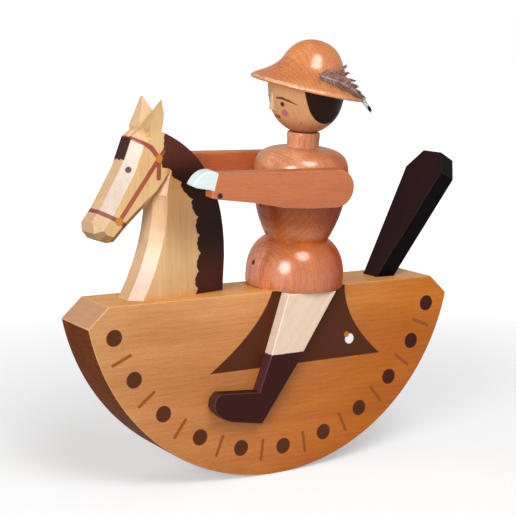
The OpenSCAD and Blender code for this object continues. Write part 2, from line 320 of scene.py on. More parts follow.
class Effects:
    """Shader groups that more than one finish uses, each built once."""

    made: dict[str, bpy.types.NodeTree] = {}

    @classmethod
    def start(
        cls, name: str, inputs: dict[str, Sequence[str]], outputs: dict[str, Sequence[str]]
    ) -> tuple[Sheet, bpy.types.NodeOutputs, bpy.types.NodeInputs]:
        """An empty group with its sockets.

        Args:
            name: Name of the group.
            inputs: Names of the inputs of each kind.
            outputs: Names of the outputs of each kind.

        Returns:
            Its sheet, the inputs to read and the outputs to fill.
        """
        tree = bpy.data.node_groups.new(name, "ShaderNodeTree")
        for side, sockets in (("INPUT", inputs), ("OUTPUT", outputs)):
            for kind, labels in sockets.items():
                for label in labels:
                    tree.interface.new_socket(name=label, in_out=side, socket_type="NodeSocket" + kind)
        sheet = Sheet(tree)
        cls.made[name] = tree
        return sheet, sheet.add("NodeGroupInput").outputs, sheet.add("NodeGroupOutput").inputs

    @classmethod
    def wood_grain(cls) -> bpy.types.NodeTree:
        """Grain lines, broad figure and short pores along Z, in millimetres."""
        if "wood_grain" in cls.made:
            return cls.made["wood_grain"]
        sheet, given, out = cls.start(
            "wood_grain",
            {
                "Vector": ("Point",),
                "Color": ("Pale", "Deep", "Pore"),
                "Float": ("Line", "Figure", "Pores", "Fleck", "Rings", "Spacing"),
            },
            {"Color": ("Color",), "Float": ("Height",)},
        )
        point = given["Point"]
        x, y, _ = sheet.parts(point)
        bent = sheet.noise(sheet.vector("MULTIPLY", point, (0.045, 0.045, 0.014)), 1.0, 1.0)
        layer = sheet.muladd(bent, 6.0, sheet.muladd(sheet.times(y, y), 0.006, x))
        phase = sheet.calc("FRACT", sheet.calc("DIVIDE", layer, given["Spacing"]))
        late = sheet.times(sheet.step(phase, 0.25, 0.9), sheet.step(phase, 1.0, 0.93))
        across = sheet.calc("DIVIDE", 1.0, given["Line"])
        drawn = sheet.vector("MULTIPLY", point, sheet.joined(across, across, sheet.times(across, 0.035)))
        lines = sheet.noise(drawn, 1.0, 3.0, 0.4)
        fine = sheet.noise(sheet.vector("MULTIPLY", point, (2.6, 2.6, 0.16)), 1.0, 2.0)
        broad = sheet.noise(sheet.vector("MULTIPLY", point, (0.09, 0.09, 0.012)), 1.0, 1.0, 0.8)
        swing = sheet.times(sheet.minus(late, 0.35), given["Rings"])
        for part, weight in ((lines, 1.5), (fine, 0.9), (broad, 1.3)):
            swing = sheet.muladd(sheet.minus(part, 0.5), weight, swing)
        tone = sheet.muladd(swing, given["Figure"], 0.5, clamp=True)
        colour = sheet.blend(tone, given["Pale"], given["Deep"])
        across = sheet.calc("DIVIDE", 1.0, given["Fleck"])
        cell = sheet.joined(across, across, sheet.times(across, 0.2))
        spots = sheet.add("ShaderNodeTexVoronoi", feature="F1")
        sheet.plug(sheet.vector("MULTIPLY", point, cell), spots.inputs["Vector"])
        sheet.plug(1.0, spots.inputs["Scale"])
        chance = sheet.step(sheet.parts(spots.outputs["Color"])[0], 0.35, 0.55)
        dash = sheet.times(sheet.step(spots.outputs["Distance"], 0.34, 0.16), chance)
        dash_mask = sheet.times(dash, given["Pores"], clamp=True)
        sheet.plug(sheet.blend(dash_mask, colour, given["Pore"]), out["Color"])
        sheet.plug(sheet.minus(fine, dash), out["Height"])
        return sheet.tree

    @classmethod
    def stroke(cls) -> bpy.types.NodeTree:
        """A brush stroke between two points, with its own width at each."""
        if "brush_stroke" in cls.made:
            return cls.made["brush_stroke"]
        sheet, given, out = cls.start(
            "brush_stroke",
            {"Vector": ("Point", "From", "To"), "Float": ("From Half", "To Half", "Soft")},
            {"Float": ("Mask",)},
        )
        way = sheet.vector("SUBTRACT", given["To"], given["From"])
        off = sheet.vector("SUBTRACT", given["Point"], given["From"])
        share = sheet.vector("DOT_PRODUCT", off, way)
        share = sheet.calc("DIVIDE", share, sheet.vector("DOT_PRODUCT", way, way), clamp=True)
        distance = sheet.vector("DISTANCE", off, sheet.scaled(way, share))
        half = sheet.muladd(share, sheet.minus(given["To Half"], given["From Half"]), given["From Half"])
        inside = sheet.calc("DIVIDE", sheet.minus(half, distance), given["Soft"])
        sheet.plug(sheet.step(inside, -1.0, 1.0), out["Mask"])
        return sheet.tree

    @classmethod
    def arris_wear_and_highlight(cls) -> bpy.types.NodeTree:
        """Where a softened edge is lightened, for rubbing and for a painted highlight, broken up along its
        length.
        """
        if "arris_wear_and_highlight" in cls.made:
            return cls.made["arris_wear_and_highlight"]
        sheet, given, out = cls.start(
            "arris_wear_and_highlight", {"Vector": ("Point",), "Float": ("Edge", "Amount")}, {"Float": ("Mask",)}
        )
        patches = sheet.step(sheet.noise(given["Point"], 0.35, 3.0), 0.3, 0.7, 0.35, 1.0)
        sheet.plug(sheet.times(given["Edge"], patches, given["Amount"], clamp=True), out["Mask"])
        return sheet.tree


# Finishes


@dataclass(frozen=True)
class Wood:
    """A wood ground under lacquer: its colours, its grain and its shine."""

    pale: Colour
    deep: Colour
    pore: Colour
    line: float = 1.3
    figure: float = 0.6
    pores: float = 0.5
    fleck: float = 0.55
    rings: float = 0.3
    spacing: float = 2.6
    roughness: float = 0.45
    specular: float = 0.12
    coat: float = 0.2
    coat_roughness: float = 0.24
    coat_ior: float = 1.6
    bump: float = 0.06


BEECH = Wood(
    (0.65, 0.33, 0.13), (0.50, 0.225, 0.078), (0.36, 0.14, 0.045), line=0.55, figure=1.1, pores=0.6,
    fleck=0.34, rings=0.15,
)
DECK_WOOD = replace(BEECH, pale=(0.87, 0.42, 0.114), deep=(0.67, 0.285, 0.070), specular=0.05, coat=0.03)
END_WOOD = Wood(
    (0.64, 0.33, 0.175), (0.52, 0.25, 0.125), (0.36, 0.15, 0.07), line=0.8, figure=0.6, pores=0.5,
    fleck=0.4, coat=0.15,
)
RIM_STAIN = Wood(
    (0.19, 0.047, 0.011), (0.11, 0.026, 0.0065), (0.055, 0.012, 0.0035), line=1.2, figure=0.9, pores=0.5,
    specular=0.005, coat=0.0,
)
MAPLE = Wood(
    (0.785, 0.50, 0.225), (0.645, 0.375, 0.148), (0.49, 0.26, 0.09), line=0.7, figure=0.9, pores=0.35,
    fleck=0.36, rings=0.12, specular=0.04, coat=0.7, coat_roughness=0.27,
)
STAINED = Wood(
    (0.62, 0.185, 0.046), (0.38, 0.090, 0.018), (0.21, 0.042, 0.011), line=0.5, figure=1.1, pores=0.7,
    fleck=0.32, rings=0.22, spacing=1.5, coat=0.9, coat_roughness=0.21, coat_ior=1.75,
)
HAT_WOOD = Wood(
    (0.80, 0.305, 0.097), (0.51, 0.155, 0.041), (0.30, 0.075, 0.018), line=0.5, figure=1.1, pores=0.8,
    fleck=0.34, rings=0.2, spacing=1.9, coat=0.9, coat_roughness=0.21, coat_ior=1.75,
)
SLEEVE = replace(
    STAINED, pale=(0.59, 0.17, 0.050), deep=(0.425, 0.113, 0.032), figure=0.8, pores=0.5, rings=0.15,
    coat=0.35,
)
# Painted light: the far arm's stain is paler and brighter than the near arm's, lifting its shaded side.
FAR_SLEEVE_PAINTED_LIGHT = replace(SLEEVE, pale=(0.72, 0.195, 0.064), deep=(0.53, 0.132, 0.042))
DARK = Wood(
    (0.026, 0.0069, 0.0075), (0.016, 0.0044, 0.005), (0.004, 0.001, 0.001), line=0.8, figure=0.8, pores=0.3,
    fleck=0.4, specular=0.03, coat=0.02,
)
BREECHES = Wood(
    (0.86, 0.69, 0.545), (0.74, 0.535, 0.39), (0.60, 0.40, 0.27), line=0.9, figure=0.6, pores=0.3,
    fleck=0.35, rings=0.3, spacing=4.2, specular=0.05,
)
NOSE_WOOD = replace(MAPLE, pale=(0.80, 0.60, 0.39), deep=(0.70, 0.49, 0.29))
HEAD_WOOD = Wood(
    (0.74, 0.40, 0.185), (0.60, 0.285, 0.12), (0.38, 0.15, 0.055), line=0.7, figure=0.7, pores=0.6,
    fleck=0.26, rings=0.1, specular=0.04, coat=0.15,
)
DOWN = Wood(
    (0.36, 0.165, 0.125), (0.21, 0.088, 0.068), (0.10, 0.035, 0.03), line=0.7, figure=0.8, pores=0.0,
    roughness=0.75, specular=0.03, coat=0.0,
)
DOWEL = Wood((0.74, 0.52, 0.32), (0.62, 0.40, 0.22), (0.40, 0.24, 0.12), roughness=0.6, coat=0.0)


@dataclass(frozen=True)
class Paint:
    """A paint: its colour, how well it covers and the weight of the lacquer over it."""

    colour: Colour
    cover: float = 1.0
    shine: float | None = None


CLOTH_BROWN = Paint((0.071, 0.016, 0.0042), shine=0.03)
DOT_BROWN = Paint((0.076, 0.020, 0.005), shine=0.03)
DASH_BROWN = Paint((0.25, 0.062, 0.009), 0.95)
DISC_WHITE = Paint((0.80, 0.82, 0.76))
DISC_ORANGE = Paint((0.46, 0.15, 0.01))
MANE_BLACK = Paint((0.019, 0.0075, 0.0047), shine=0.05)
MANE_THIN = Paint((0.093, 0.024, 0.0155))
FORELOCK = Paint((0.050, 0.014, 0.010), shine=0.08)
HORSE_EYE = Paint((0.075, 0.030, 0.048), 0.97, 0.15)
ROSETTE = Paint((0.54, 0.19, 0.015))
COAT_BUTTON = Paint((0.045, 0.010, 0.008), shine=0.02)
CUFF_BUTTON = replace(COAT_BUTTON, shine=0.1)
BOOT = Paint((0.030, 0.0048, 0.0035), shine=0.1)
# Painted sheen on the boot's edges and front.
BOOT_EDGE_SHEEN = Paint((0.13, 0.055, 0.075))
BOOT_FRONT_SHEEN = Paint((0.078, 0.025, 0.023))
HAND_WHITE = Paint((0.66, 0.76, 0.76), shine=0.3)
CHEEK = Paint((0.48, 0.10, 0.18), 0.85)
EYE = Paint((0.085, 0.035, 0.015))
BROW = Paint((0.16, 0.055, 0.03))
LIP = Paint((0.38, 0.022, 0.025))
NECK_LINE = Paint((0.12, 0.04, 0.02), 0.8)
HAIR = Paint((0.020, 0.0075, 0.004), shine=0.04)
DOWN_PALE = Paint((0.56, 0.37, 0.33))
DOWN_ROOT = Paint((0.62, 0.45, 0.41), 0.85)
DOWN_RUSSET = Paint((0.26, 0.085, 0.045), 0.6)
SPIKE_DARK = Paint((0.030, 0.034, 0.032), 0.9)
TIP_DARK = Paint((0.050, 0.032, 0.030), 0.7)
PATCH_WHITE = Paint((0.66, 0.70, 0.66), 0.9)
END_BLACK = Paint((0.012, 0.015, 0.013))


class Surface(Sheet):
    """One material: a wood ground, the paint laid on it and its lacquer."""

    rough_spread = (0.08, -0.05)
    coat_spread = (0.5, 1.1)
    grain_in_paint = (0.82, 1.12)
    facing_span = (0.2, 0.6)
    facing_coat = (1.0, 0.1)
    bump_depth = 0.2 * MM

    def __init__(self, name: str, wood: Wood, at: Matrix = WORLD, grain: Matrix = WORLD) -> None:
        """Starts the material with its ground.

        Args:
            name: Name of the material.
            wood: The ground.
            at: The piece's own frame, in which paint is placed.
            grain: Turn from that frame to one whose Z runs along the grain.
        """
        self.wood = wood
        self.material = bpy.data.materials.new(name)
        self.material.use_nodes = True
        super().__init__(self.material.node_tree)
        self.shader = self.tree.nodes["Principled BSDF"]
        self.point = self.frame_point(at)
        self.x, self.y, self.z = self.parts(self.point)
        names = ("pale", "deep", "pore", "line", "figure", "pores", "fleck", "rings", "spacing")
        values = {name.title(): getattr(wood, name) for name in names}
        ground = self.group(Effects.wood_grain(), Point=self.frame_point(at @ grain), **values)
        self.colour = ground.outputs["Color"]
        self.height = ground.outputs["Height"]
        rough = [wood.roughness + more for more in self.rough_spread]
        self.rough = self.step(self.height, -1.0, 1.0, *rough)
        self.shine = self.step(
            self.height, -0.7, 0.9, *(wood.coat * share for share in self.coat_spread)
        )

    def frame_point(self, at: Matrix) -> Socket:
        """The point in a piece's own frame, in millimetres."""
        back = at.inverted()
        coordinates = self.add("ShaderNodeTexCoord")
        mapping = self.add("ShaderNodeMapping", vector_type="POINT")
        self.plug(coordinates.outputs["Object"], mapping.inputs["Vector"])
        mapping.inputs["Scale"].default_value = (1 / MM,) * 3
        mapping.inputs["Rotation"].default_value = back.to_euler("XYZ")
        mapping.inputs["Location"].default_value = back.to_translation()
        return mapping.outputs[0]

    def flat(self) -> Socket:
        """The point seen from the side, so that paint goes through to both faces."""
        return self.joined(self.x, 0.0, self.z)

    def mirrored(self) -> Socket:
        """The point with both its sides folded into one."""
        return self.joined(self.x, self.calc("ABSOLUTE", self.y), self.z)

    def where(self, *masks: Value, **borders: Sequence[float]) -> Socket:
        """Mask of what lies inside soft borders along the piece's axes.

        Args:
            masks: Other masks that it is multiplied by.
            borders: For x, y or z, where a border starts and where it is passed, once or twice.

        Returns:
            The mask.
        """
        made = list(masks)
        for axis, values in borders.items():
            for pair in zip(values[::2], values[1::2]):
                made.append(self.step(getattr(self, axis), *pair))
        return self.times(*made)

    def tint(self, mask: Value, colour: Colour) -> None:
        """Multiplies the colour by another where the mask is."""
        self.colour = self.blend(mask, self.colour, colour, "MULTIPLY")

    def paint(self, mask: Value, paint: Paint) -> None:
        """Lays paint where the mask is, with the grain showing faintly."""
        shown = self.times(mask, paint.cover)
        tint = self.step(self.height, -1.0, 1.0, *self.grain_in_paint)
        self.colour = self.blend(shown, self.colour, self.scaled(paint.colour, tint))
        if paint.shine is not None:
            self.shine = self.muladd(shown, self.minus(paint.shine, self.shine), self.shine)

    def stroke(
        self, point: Value, start: Sequence[float], end: Sequence[float], half: float,
        end_half: float | None = None, soft: float = 0.15,
    ) -> Socket:
        """Mask of a stroke between two points.

        Args:
            point: Where it is read.
            start: First end.
            end: Other end.
            half: Half its width at the first end.
            end_half: Half its width at the other, if it differs.
            soft: Softness of its edge.

        Returns:
            The mask.
        """
        node = self.group(
            Effects.stroke(), Point=point, From=tuple(start), To=tuple(end), From_Half=half,
            To_Half=half if end_half is None else end_half, Soft=soft,
        )
        return node.outputs[0]

    def spot(self, point: Value, centre: Sequence[float], radius: float, soft: float = 0.15) -> Socket:
        """Mask of a round dab."""
        distance = self.vector("DISTANCE", point, tuple(centre))
        return self.step(distance, radius + soft, radius - soft)

    def wear_and_highlight_edges(self, amount: float, colour: Colour) -> None:
        """Lightens the softened edges, standing for rubbing and for a painted highlight.

        Args:
            amount: How much.
            colour: What shows there.
        """
        edge = self.read("arris")
        lightened_edge = self.group(Effects.arris_wear_and_highlight(), Point=self.point, Edge=edge, Amount=amount)
        self.colour = self.blend(lightened_edge.outputs[0], self.colour, colour)

    def done(self) -> Material:
        """Links the last colours to the shader."""
        sockets = self.shader.inputs
        self.plug(self.colour, sockets["Base Color"])
        self.plug(self.rough, sockets["Roughness"])
        facing = self.add("ShaderNodeLayerWeight").outputs["Facing"]
        coat = self.times(self.shine, self.step(facing, *self.facing_span, *self.facing_coat))
        self.plug(coat, sockets["Coat Weight"])
        sockets["Coat Roughness"].default_value = self.wood.coat_roughness
        sockets["Coat IOR"].default_value = self.wood.coat_ior
        sockets["Specular IOR Level"].default_value = self.wood.specular
        bump = self.add("ShaderNodeBump")
        bump.inputs["Strength"].default_value = self.wood.bump
        bump.inputs["Distance"].default_value = self.bump_depth
        self.plug(self.height, bump.inputs["Height"])
        self.plug(bump.outputs[0], sockets["Normal"])
        return self.material


# Meshes


class Shop:
    """Turns a bmesh into a finished piece."""

    near = 0.004
    flat_degrees = 0.6

    @staticmethod
    def smooth_turned(mesh: Mesh, degrees: float) -> None:
        """Shades a turned shape smooth, with corners sharper than the angle kept.

        Args:
            mesh: The shape.
            degrees: Sharpest angle that stays smooth.
        """
        for face in mesh.faces:
            face.smooth = True
        for edge in mesh.edges:
            edge.smooth = edge.calc_face_angle(0.0) < math.radians(degrees)

    @staticmethod
    def keep(
        mesh: Mesh, name: str, frame_at: Matrix, body: Body, slot: Slot, node: str,
        materials: Sequence[Material],
    ) -> None:
        """Makes the piece, puts it in place and hands it to its body.

        Args:
            mesh: Its shape, in millimetres in its own frame.
            name: Its name.
            frame_at: That frame.
            body: The body it rides on.
            slot: Its material slot; not used.
            node: The frame's node that it stands for.
            materials: Its materials, by face index.
        """
        bmesh.ops.transform(mesh, matrix=Matrix.Scale(MM, 4) @ frame_at, verts=mesh.verts)
        data = bpy.data.meshes.new(name)
        mesh.to_mesh(data)
        mesh.free()
        piece = bpy.data.objects.new(name, data)
        bpy.context.scene.collection.objects.link(piece)
        for material in materials:
            data.materials.append(material)
        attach(piece, body.value)
        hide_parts(node)
        log.info("%s: %d faces on %s", name, len(data.polygons), body.value)

    @staticmethod
    def turn(profile: Sequence[Point2], steps: int) -> Mesh:
        """Turns a closed shell from a profile of radius and height.

        Args:
            profile: The profile; its ends lie on the axis.
            steps: Faces round the axis.

        Returns:
            The shell.
        """
        mesh = bmesh.new()
        points = [mesh.verts.new((r, 0, z)) for r, z in profile]
        edges = [mesh.edges.new(pair) for pair in zip(points, points[1:])]
        bmesh.ops.spin(
            mesh, geom=points + edges, cent=(0, 0, 0), axis=(0, 0, 1), angle=math.tau, steps=steps,
            use_merge=True,
        )
        bmesh.ops.remove_doubles(mesh, verts=mesh.verts, dist=Shop.near)
        bmesh.ops.recalc_face_normals(mesh, faces=mesh.faces)
        return mesh

    @staticmethod
    def bevel(mesh: Mesh, degrees: float, width: float, segments: int) -> list[bmesh.types.BMFace]:
        """Rounds the edges whose faces meet at more than an angle.

        Args:
            mesh: The shape.
            degrees: Flattest corner that is rounded.
            width: Width of the round.
            segments: Faces across it.

        Returns:
            The new faces.
        """
        sharp = [edge for edge in mesh.edges if edge.calc_face_angle(0.0) > math.radians(degrees)]
        return bmesh.ops.bevel(
            mesh, geom=sharp, offset=width, offset_type="OFFSET", segments=segments, profile=0.5,
            affect="EDGES", clamp_overlap=True, material=-1,
        )["faces"]

    @staticmethod
    def soften(mesh: Mesh, width: float, segments: int, degrees: float = 18.0) -> None:
        """Rounds sharp edges, marks the new faces as arrises and shades shallow joints smooth.

        Args:
            mesh: The shape.
            width: Width of the round.
            segments: Faces across it.
            degrees: Flattest corner that is rounded.
        """
        layer = mesh.faces.layers.float.new("arris")
        for face in Shop.bevel(mesh, degrees, width, segments):
            face[layer] = 1.0
        for face in mesh.faces:
            face.smooth = True
        for edge in mesh.edges:
            kinds = {face[layer] > 0.5 for face in edge.link_faces}
            shallow = edge.calc_face_angle(0.0) < math.radians(degrees)
            edge.smooth = kinds == {True} or (kinds == {False} and shallow)

    @staticmethod
    def mark(mesh: Mesh, name: str, test: Callable[[Vector], bool]) -> None:
        """Marks the faces whose normal passes a test.

        Args:
            mesh: The shape.
            name: Name of the mark.
            test: The test.
        """
        layer = mesh.faces.layers.float.new(name)
        mesh.normal_update()
        for face in mesh.faces:
            face[layer] = float(test(face.normal))

    @staticmethod
    def copy_of(node: str, frame_at: Matrix, near: float = 0.002) -> Mesh:
        """A merged copy of a node's solid, in its own frame, with its flat faces joined.

        Args:
            node: The node.
            frame_at: The frame.
            near: Corners closer than this are joined.

        Returns:
            The copy, in millimetres.
        """
        mesh = bmesh.new()
        mesh.from_mesh(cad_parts[node].data)
        bmesh.ops.transform(mesh, matrix=frame_at.inverted() @ Matrix.Scale(1 / MM, 4), verts=mesh.verts)
        bmesh.ops.remove_doubles(mesh, verts=mesh.verts, dist=near)
        angle = math.radians(Shop.flat_degrees)
        bmesh.ops.dissolve_limit(
            mesh, angle_limit=angle, verts=mesh.verts, edges=mesh.edges, use_dissolve_boundaries=False
        )
        for face in mesh.faces:
            face.material_index = 0
        return mesh


# The toy's pieces


@dataclass
class RockingBoard:
    """The half-round board with its painted saddle cloth, dots and dashes."""

    radius: float = 100.0
    thickness: float = 28.5
    deck_drop: float = 12.0
    end_cut: float = 9.0
    end_run: float = 9.8
    ring: float = 87.1
    first: float = 1.9
    step: float = 15.35
    edge: float = 0.45
    cloth_bottom: float = 35.7
    cloth_left: Point3 = (-4.7, -0.36, -0.0157)
    cloth_right: Point3 = (36.1, 0.005, 0.0169)
    discs: tuple[tuple[Point2, float, Paint], ...] = (
        ((39.6, -38.9), 2.5, DISC_WHITE), ((37.9, -36.6), 1.45, DISC_ORANGE),
    )
    dot: float = 3.8
    dash: Point2 = (4.6, 0.8)
    last_dot: float = 5.5
    last_dash: float = 5.0
    segments: int = 360
    soft: float = 0.15
    shade_slope: float = 0.6
    shade_start: float = -92.0
    shade_length: float = 177.0
    shade_power: float = 0.8
    squeeze: Point2 = (-0.07, -0.028)
    squeeze_back: Point2 = (0.005, 0.0021)
    ring_grows: float = 0.09
    right_shade_tint: Colour = (0.79, 0.42, 0.05)
    top_light_tint: Colour = (1.25, 1.42, 1.65)
    far_dot_shade_tint: Colour = (0.42, 0.18, 0.04)

    def build(self) -> None:
        """Cuts the board out and paints it."""
        mesh = bmesh.new()
        bmesh.ops.create_circle(mesh, cap_ends=True, radius=self.radius, segments=self.segments)
        bmesh.ops.transform(mesh, matrix=place(0, 0, 0, ("X", 90.0)), verts=mesh.verts)
        corner = math.sqrt(self.radius**2 - (self.deck_drop + self.end_cut) ** 2)
        for point, normal in (
            ((0, 0, -self.deck_drop), (0, 0, 1)),
            ((corner, 0, -self.deck_drop - self.end_cut), (self.end_cut, 0, self.end_run)),
            ((-corner, 0, -self.deck_drop - self.end_cut), (-self.end_cut, 0, self.end_run)),
        ):
            everything = mesh.verts[:] + mesh.edges[:] + mesh.faces[:]
            bmesh.ops.bisect_plane(mesh, geom=everything, plane_co=point, plane_no=normal, clear_outer=True)
        bmesh.ops.translate(mesh, vec=(0, -self.thickness / 2, 0), verts=mesh.verts)
        grown = bmesh.ops.extrude_face_region(mesh, geom=mesh.faces[:])["geom"]
        far = [v for v in grown if isinstance(v, bmesh.types.BMVert)]
        bmesh.ops.translate(mesh, vec=(0, self.thickness, 0), verts=far)
        bmesh.ops.recalc_face_normals(mesh, faces=mesh.faces)
        Shop.soften(mesh, self.edge, 2)
        for face in mesh.faces:
            normal = face.normal
            if abs(normal.y) > 0.72:
                face.material_index = 0
            elif face.calc_center_median().z > -self.deck_drop - 1:
                face.material_index = 1
            elif normal.z > 0:
                face.material_index = 2
            else:
                face.material_index = 3
        materials = [
            self.face(),
            self.plain("board_deck", DECK_WOOD, 0.4, (0.78, 0.48, 0.24)),
            self.plain("board_ends", END_WOOD, 0.5, (0.80, 0.50, 0.28), WORLD),
            self.plain("board_rim", RIM_STAIN, 0.4, (0.26, 0.10, 0.04)),
        ]
        Shop.keep(mesh, "rocking_board", BOARD_FRAME, Body.TOY, Slot.HONEY, "rocker_board", materials)

    def face(self) -> Material:
        """Honey wood with the painted cloth, dots and dashes, and painted light and shade: paler near the
        deck at the left, deeper and darker towards the right end and the bottom, the far dots darkened.
        """
        made = Surface("board_face", BEECH, BOARD_FRAME, GRAIN_X)
        x = made.x
        depth = made.times(made.plus(made.z, self.deck_drop), -1.0)
        # Painted shade: the face grows deeper and darker from the left end towards the right end and the
        # bottom.
        shade_share = made.minus(made.muladd(depth, self.shade_slope, x), self.shade_start)
        shade_share = made.calc("DIVIDE", shade_share, self.shade_length, clamp=True)
        made.tint(made.calc("POWER", shade_share, self.shade_power), self.right_shade_tint)
        # Painted light: the face is paler near the deck at its left half.
        made.tint(made.where(made.step(depth, 26.0, 4.0), x=(-70.0, -20.0)), self.top_light_tint)
        made.wear_and_highlight_edges(0.5, (0.78, 0.48, 0.22))
        left, right = (
            made.muladd(depth, made.muladd(depth, bow, slope), start)
            for start, slope, bow in (self.cloth_left, self.cloth_right)
        )
        down = made.band(depth, -5.0, self.cloth_bottom, self.soft)
        cloth = made.times(made.band(x, left, right, self.soft), down)
        made.paint(cloth, CLOTH_BROWN)
        side = made.flat()
        for (disc_x, disc_z), radius, paint in self.discs:
            made.paint(made.spot(side, (disc_x, 0, disc_z), radius), paint)
        reach = made.vector("LENGTH", side)
        angle = made.calc("DEGREES", made.calc("ARCTAN2", x, made.times(made.z, -1.0)))
        turn = made.calc("DIVIDE", made.minus(angle, self.first), self.step)
        even, odd = self.squeeze_back
        count = made.muladd(made.times(turn, turn), made.muladd(turn, odd, even), turn)
        dots = self.ring_mask(made, reach, angle, made.calc("ROUND", count), self.last_dot, 0.0, self.dot)
        made.paint(dots, DOT_BROWN)
        # Painted shade: the dots towards the right end are darkened.
        made.tint(made.where(dots, x=(30.0, 85.0)), self.far_dot_shade_tint)
        between = made.plus(made.calc("FLOOR", count), 0.5)
        made.paint(self.ring_mask(made, reach, angle, between, self.last_dash, *self.dash), DASH_BROWN)
        return made.done()

    def ring_mask(
        self, sheet: Sheet, reach: Value, angle: Value, mark: Value, most: float, long: float, radius: float
    ) -> Socket:
        """Mask of marks that repeat round the ring, a little closer together towards its ends.

        Args:
            sheet: The tree.
            reach: Distance from the arc's centre.
            angle: Angle round it in degrees.
            mark: Number of the nearest mark, from the middle.
            most: Highest number that is painted.
            long: Half the length of a mark along the radius.
            radius: Half its width.

        Returns:
            The mask.
        """
        even, odd = self.squeeze
        square = sheet.times(mark, mark)
        at = sheet.muladd(mark, self.step, self.first)
        at = sheet.muladd(square, sheet.muladd(mark, odd, even), at)
        aside = sheet.times(sheet.calc("RADIANS", sheet.minus(angle, at)), reach)
        middle = sheet.muladd(square, self.ring_grows, self.ring + 0.15 * long)
        along = sheet.minus(sheet.calc("ABSOLUTE", sheet.minus(reach, middle)), long)
        distance = sheet.vector("LENGTH", sheet.joined(aside, sheet.calc("MAXIMUM", along, 0.0), 0.0))
        inside = sheet.calc("LESS_THAN", sheet.calc("ABSOLUTE", mark), most)
        return sheet.times(sheet.step(distance, radius + self.soft, radius - self.soft), inside)

    @staticmethod
    def plain(name: str, wood: Wood, amount: float, wear_and_highlight_colour: Colour, grain: Matrix = GRAIN_X) -> Material:
        """Unpainted wood, or stain, lightened at its edges for rubbing and as a painted highlight.

        Args:
            name: Name of the material.
            wood: The wood.
            amount: How much its edges are lightened.
            wear_and_highlight_colour: What shows there.
            grain: Turn of the grain.

        Returns:
            The material.
        """
        made = Surface(name, wood, BOARD_FRAME, grain)
        made.wear_and_highlight_edges(amount, wear_and_highlight_colour)
        return made.done()


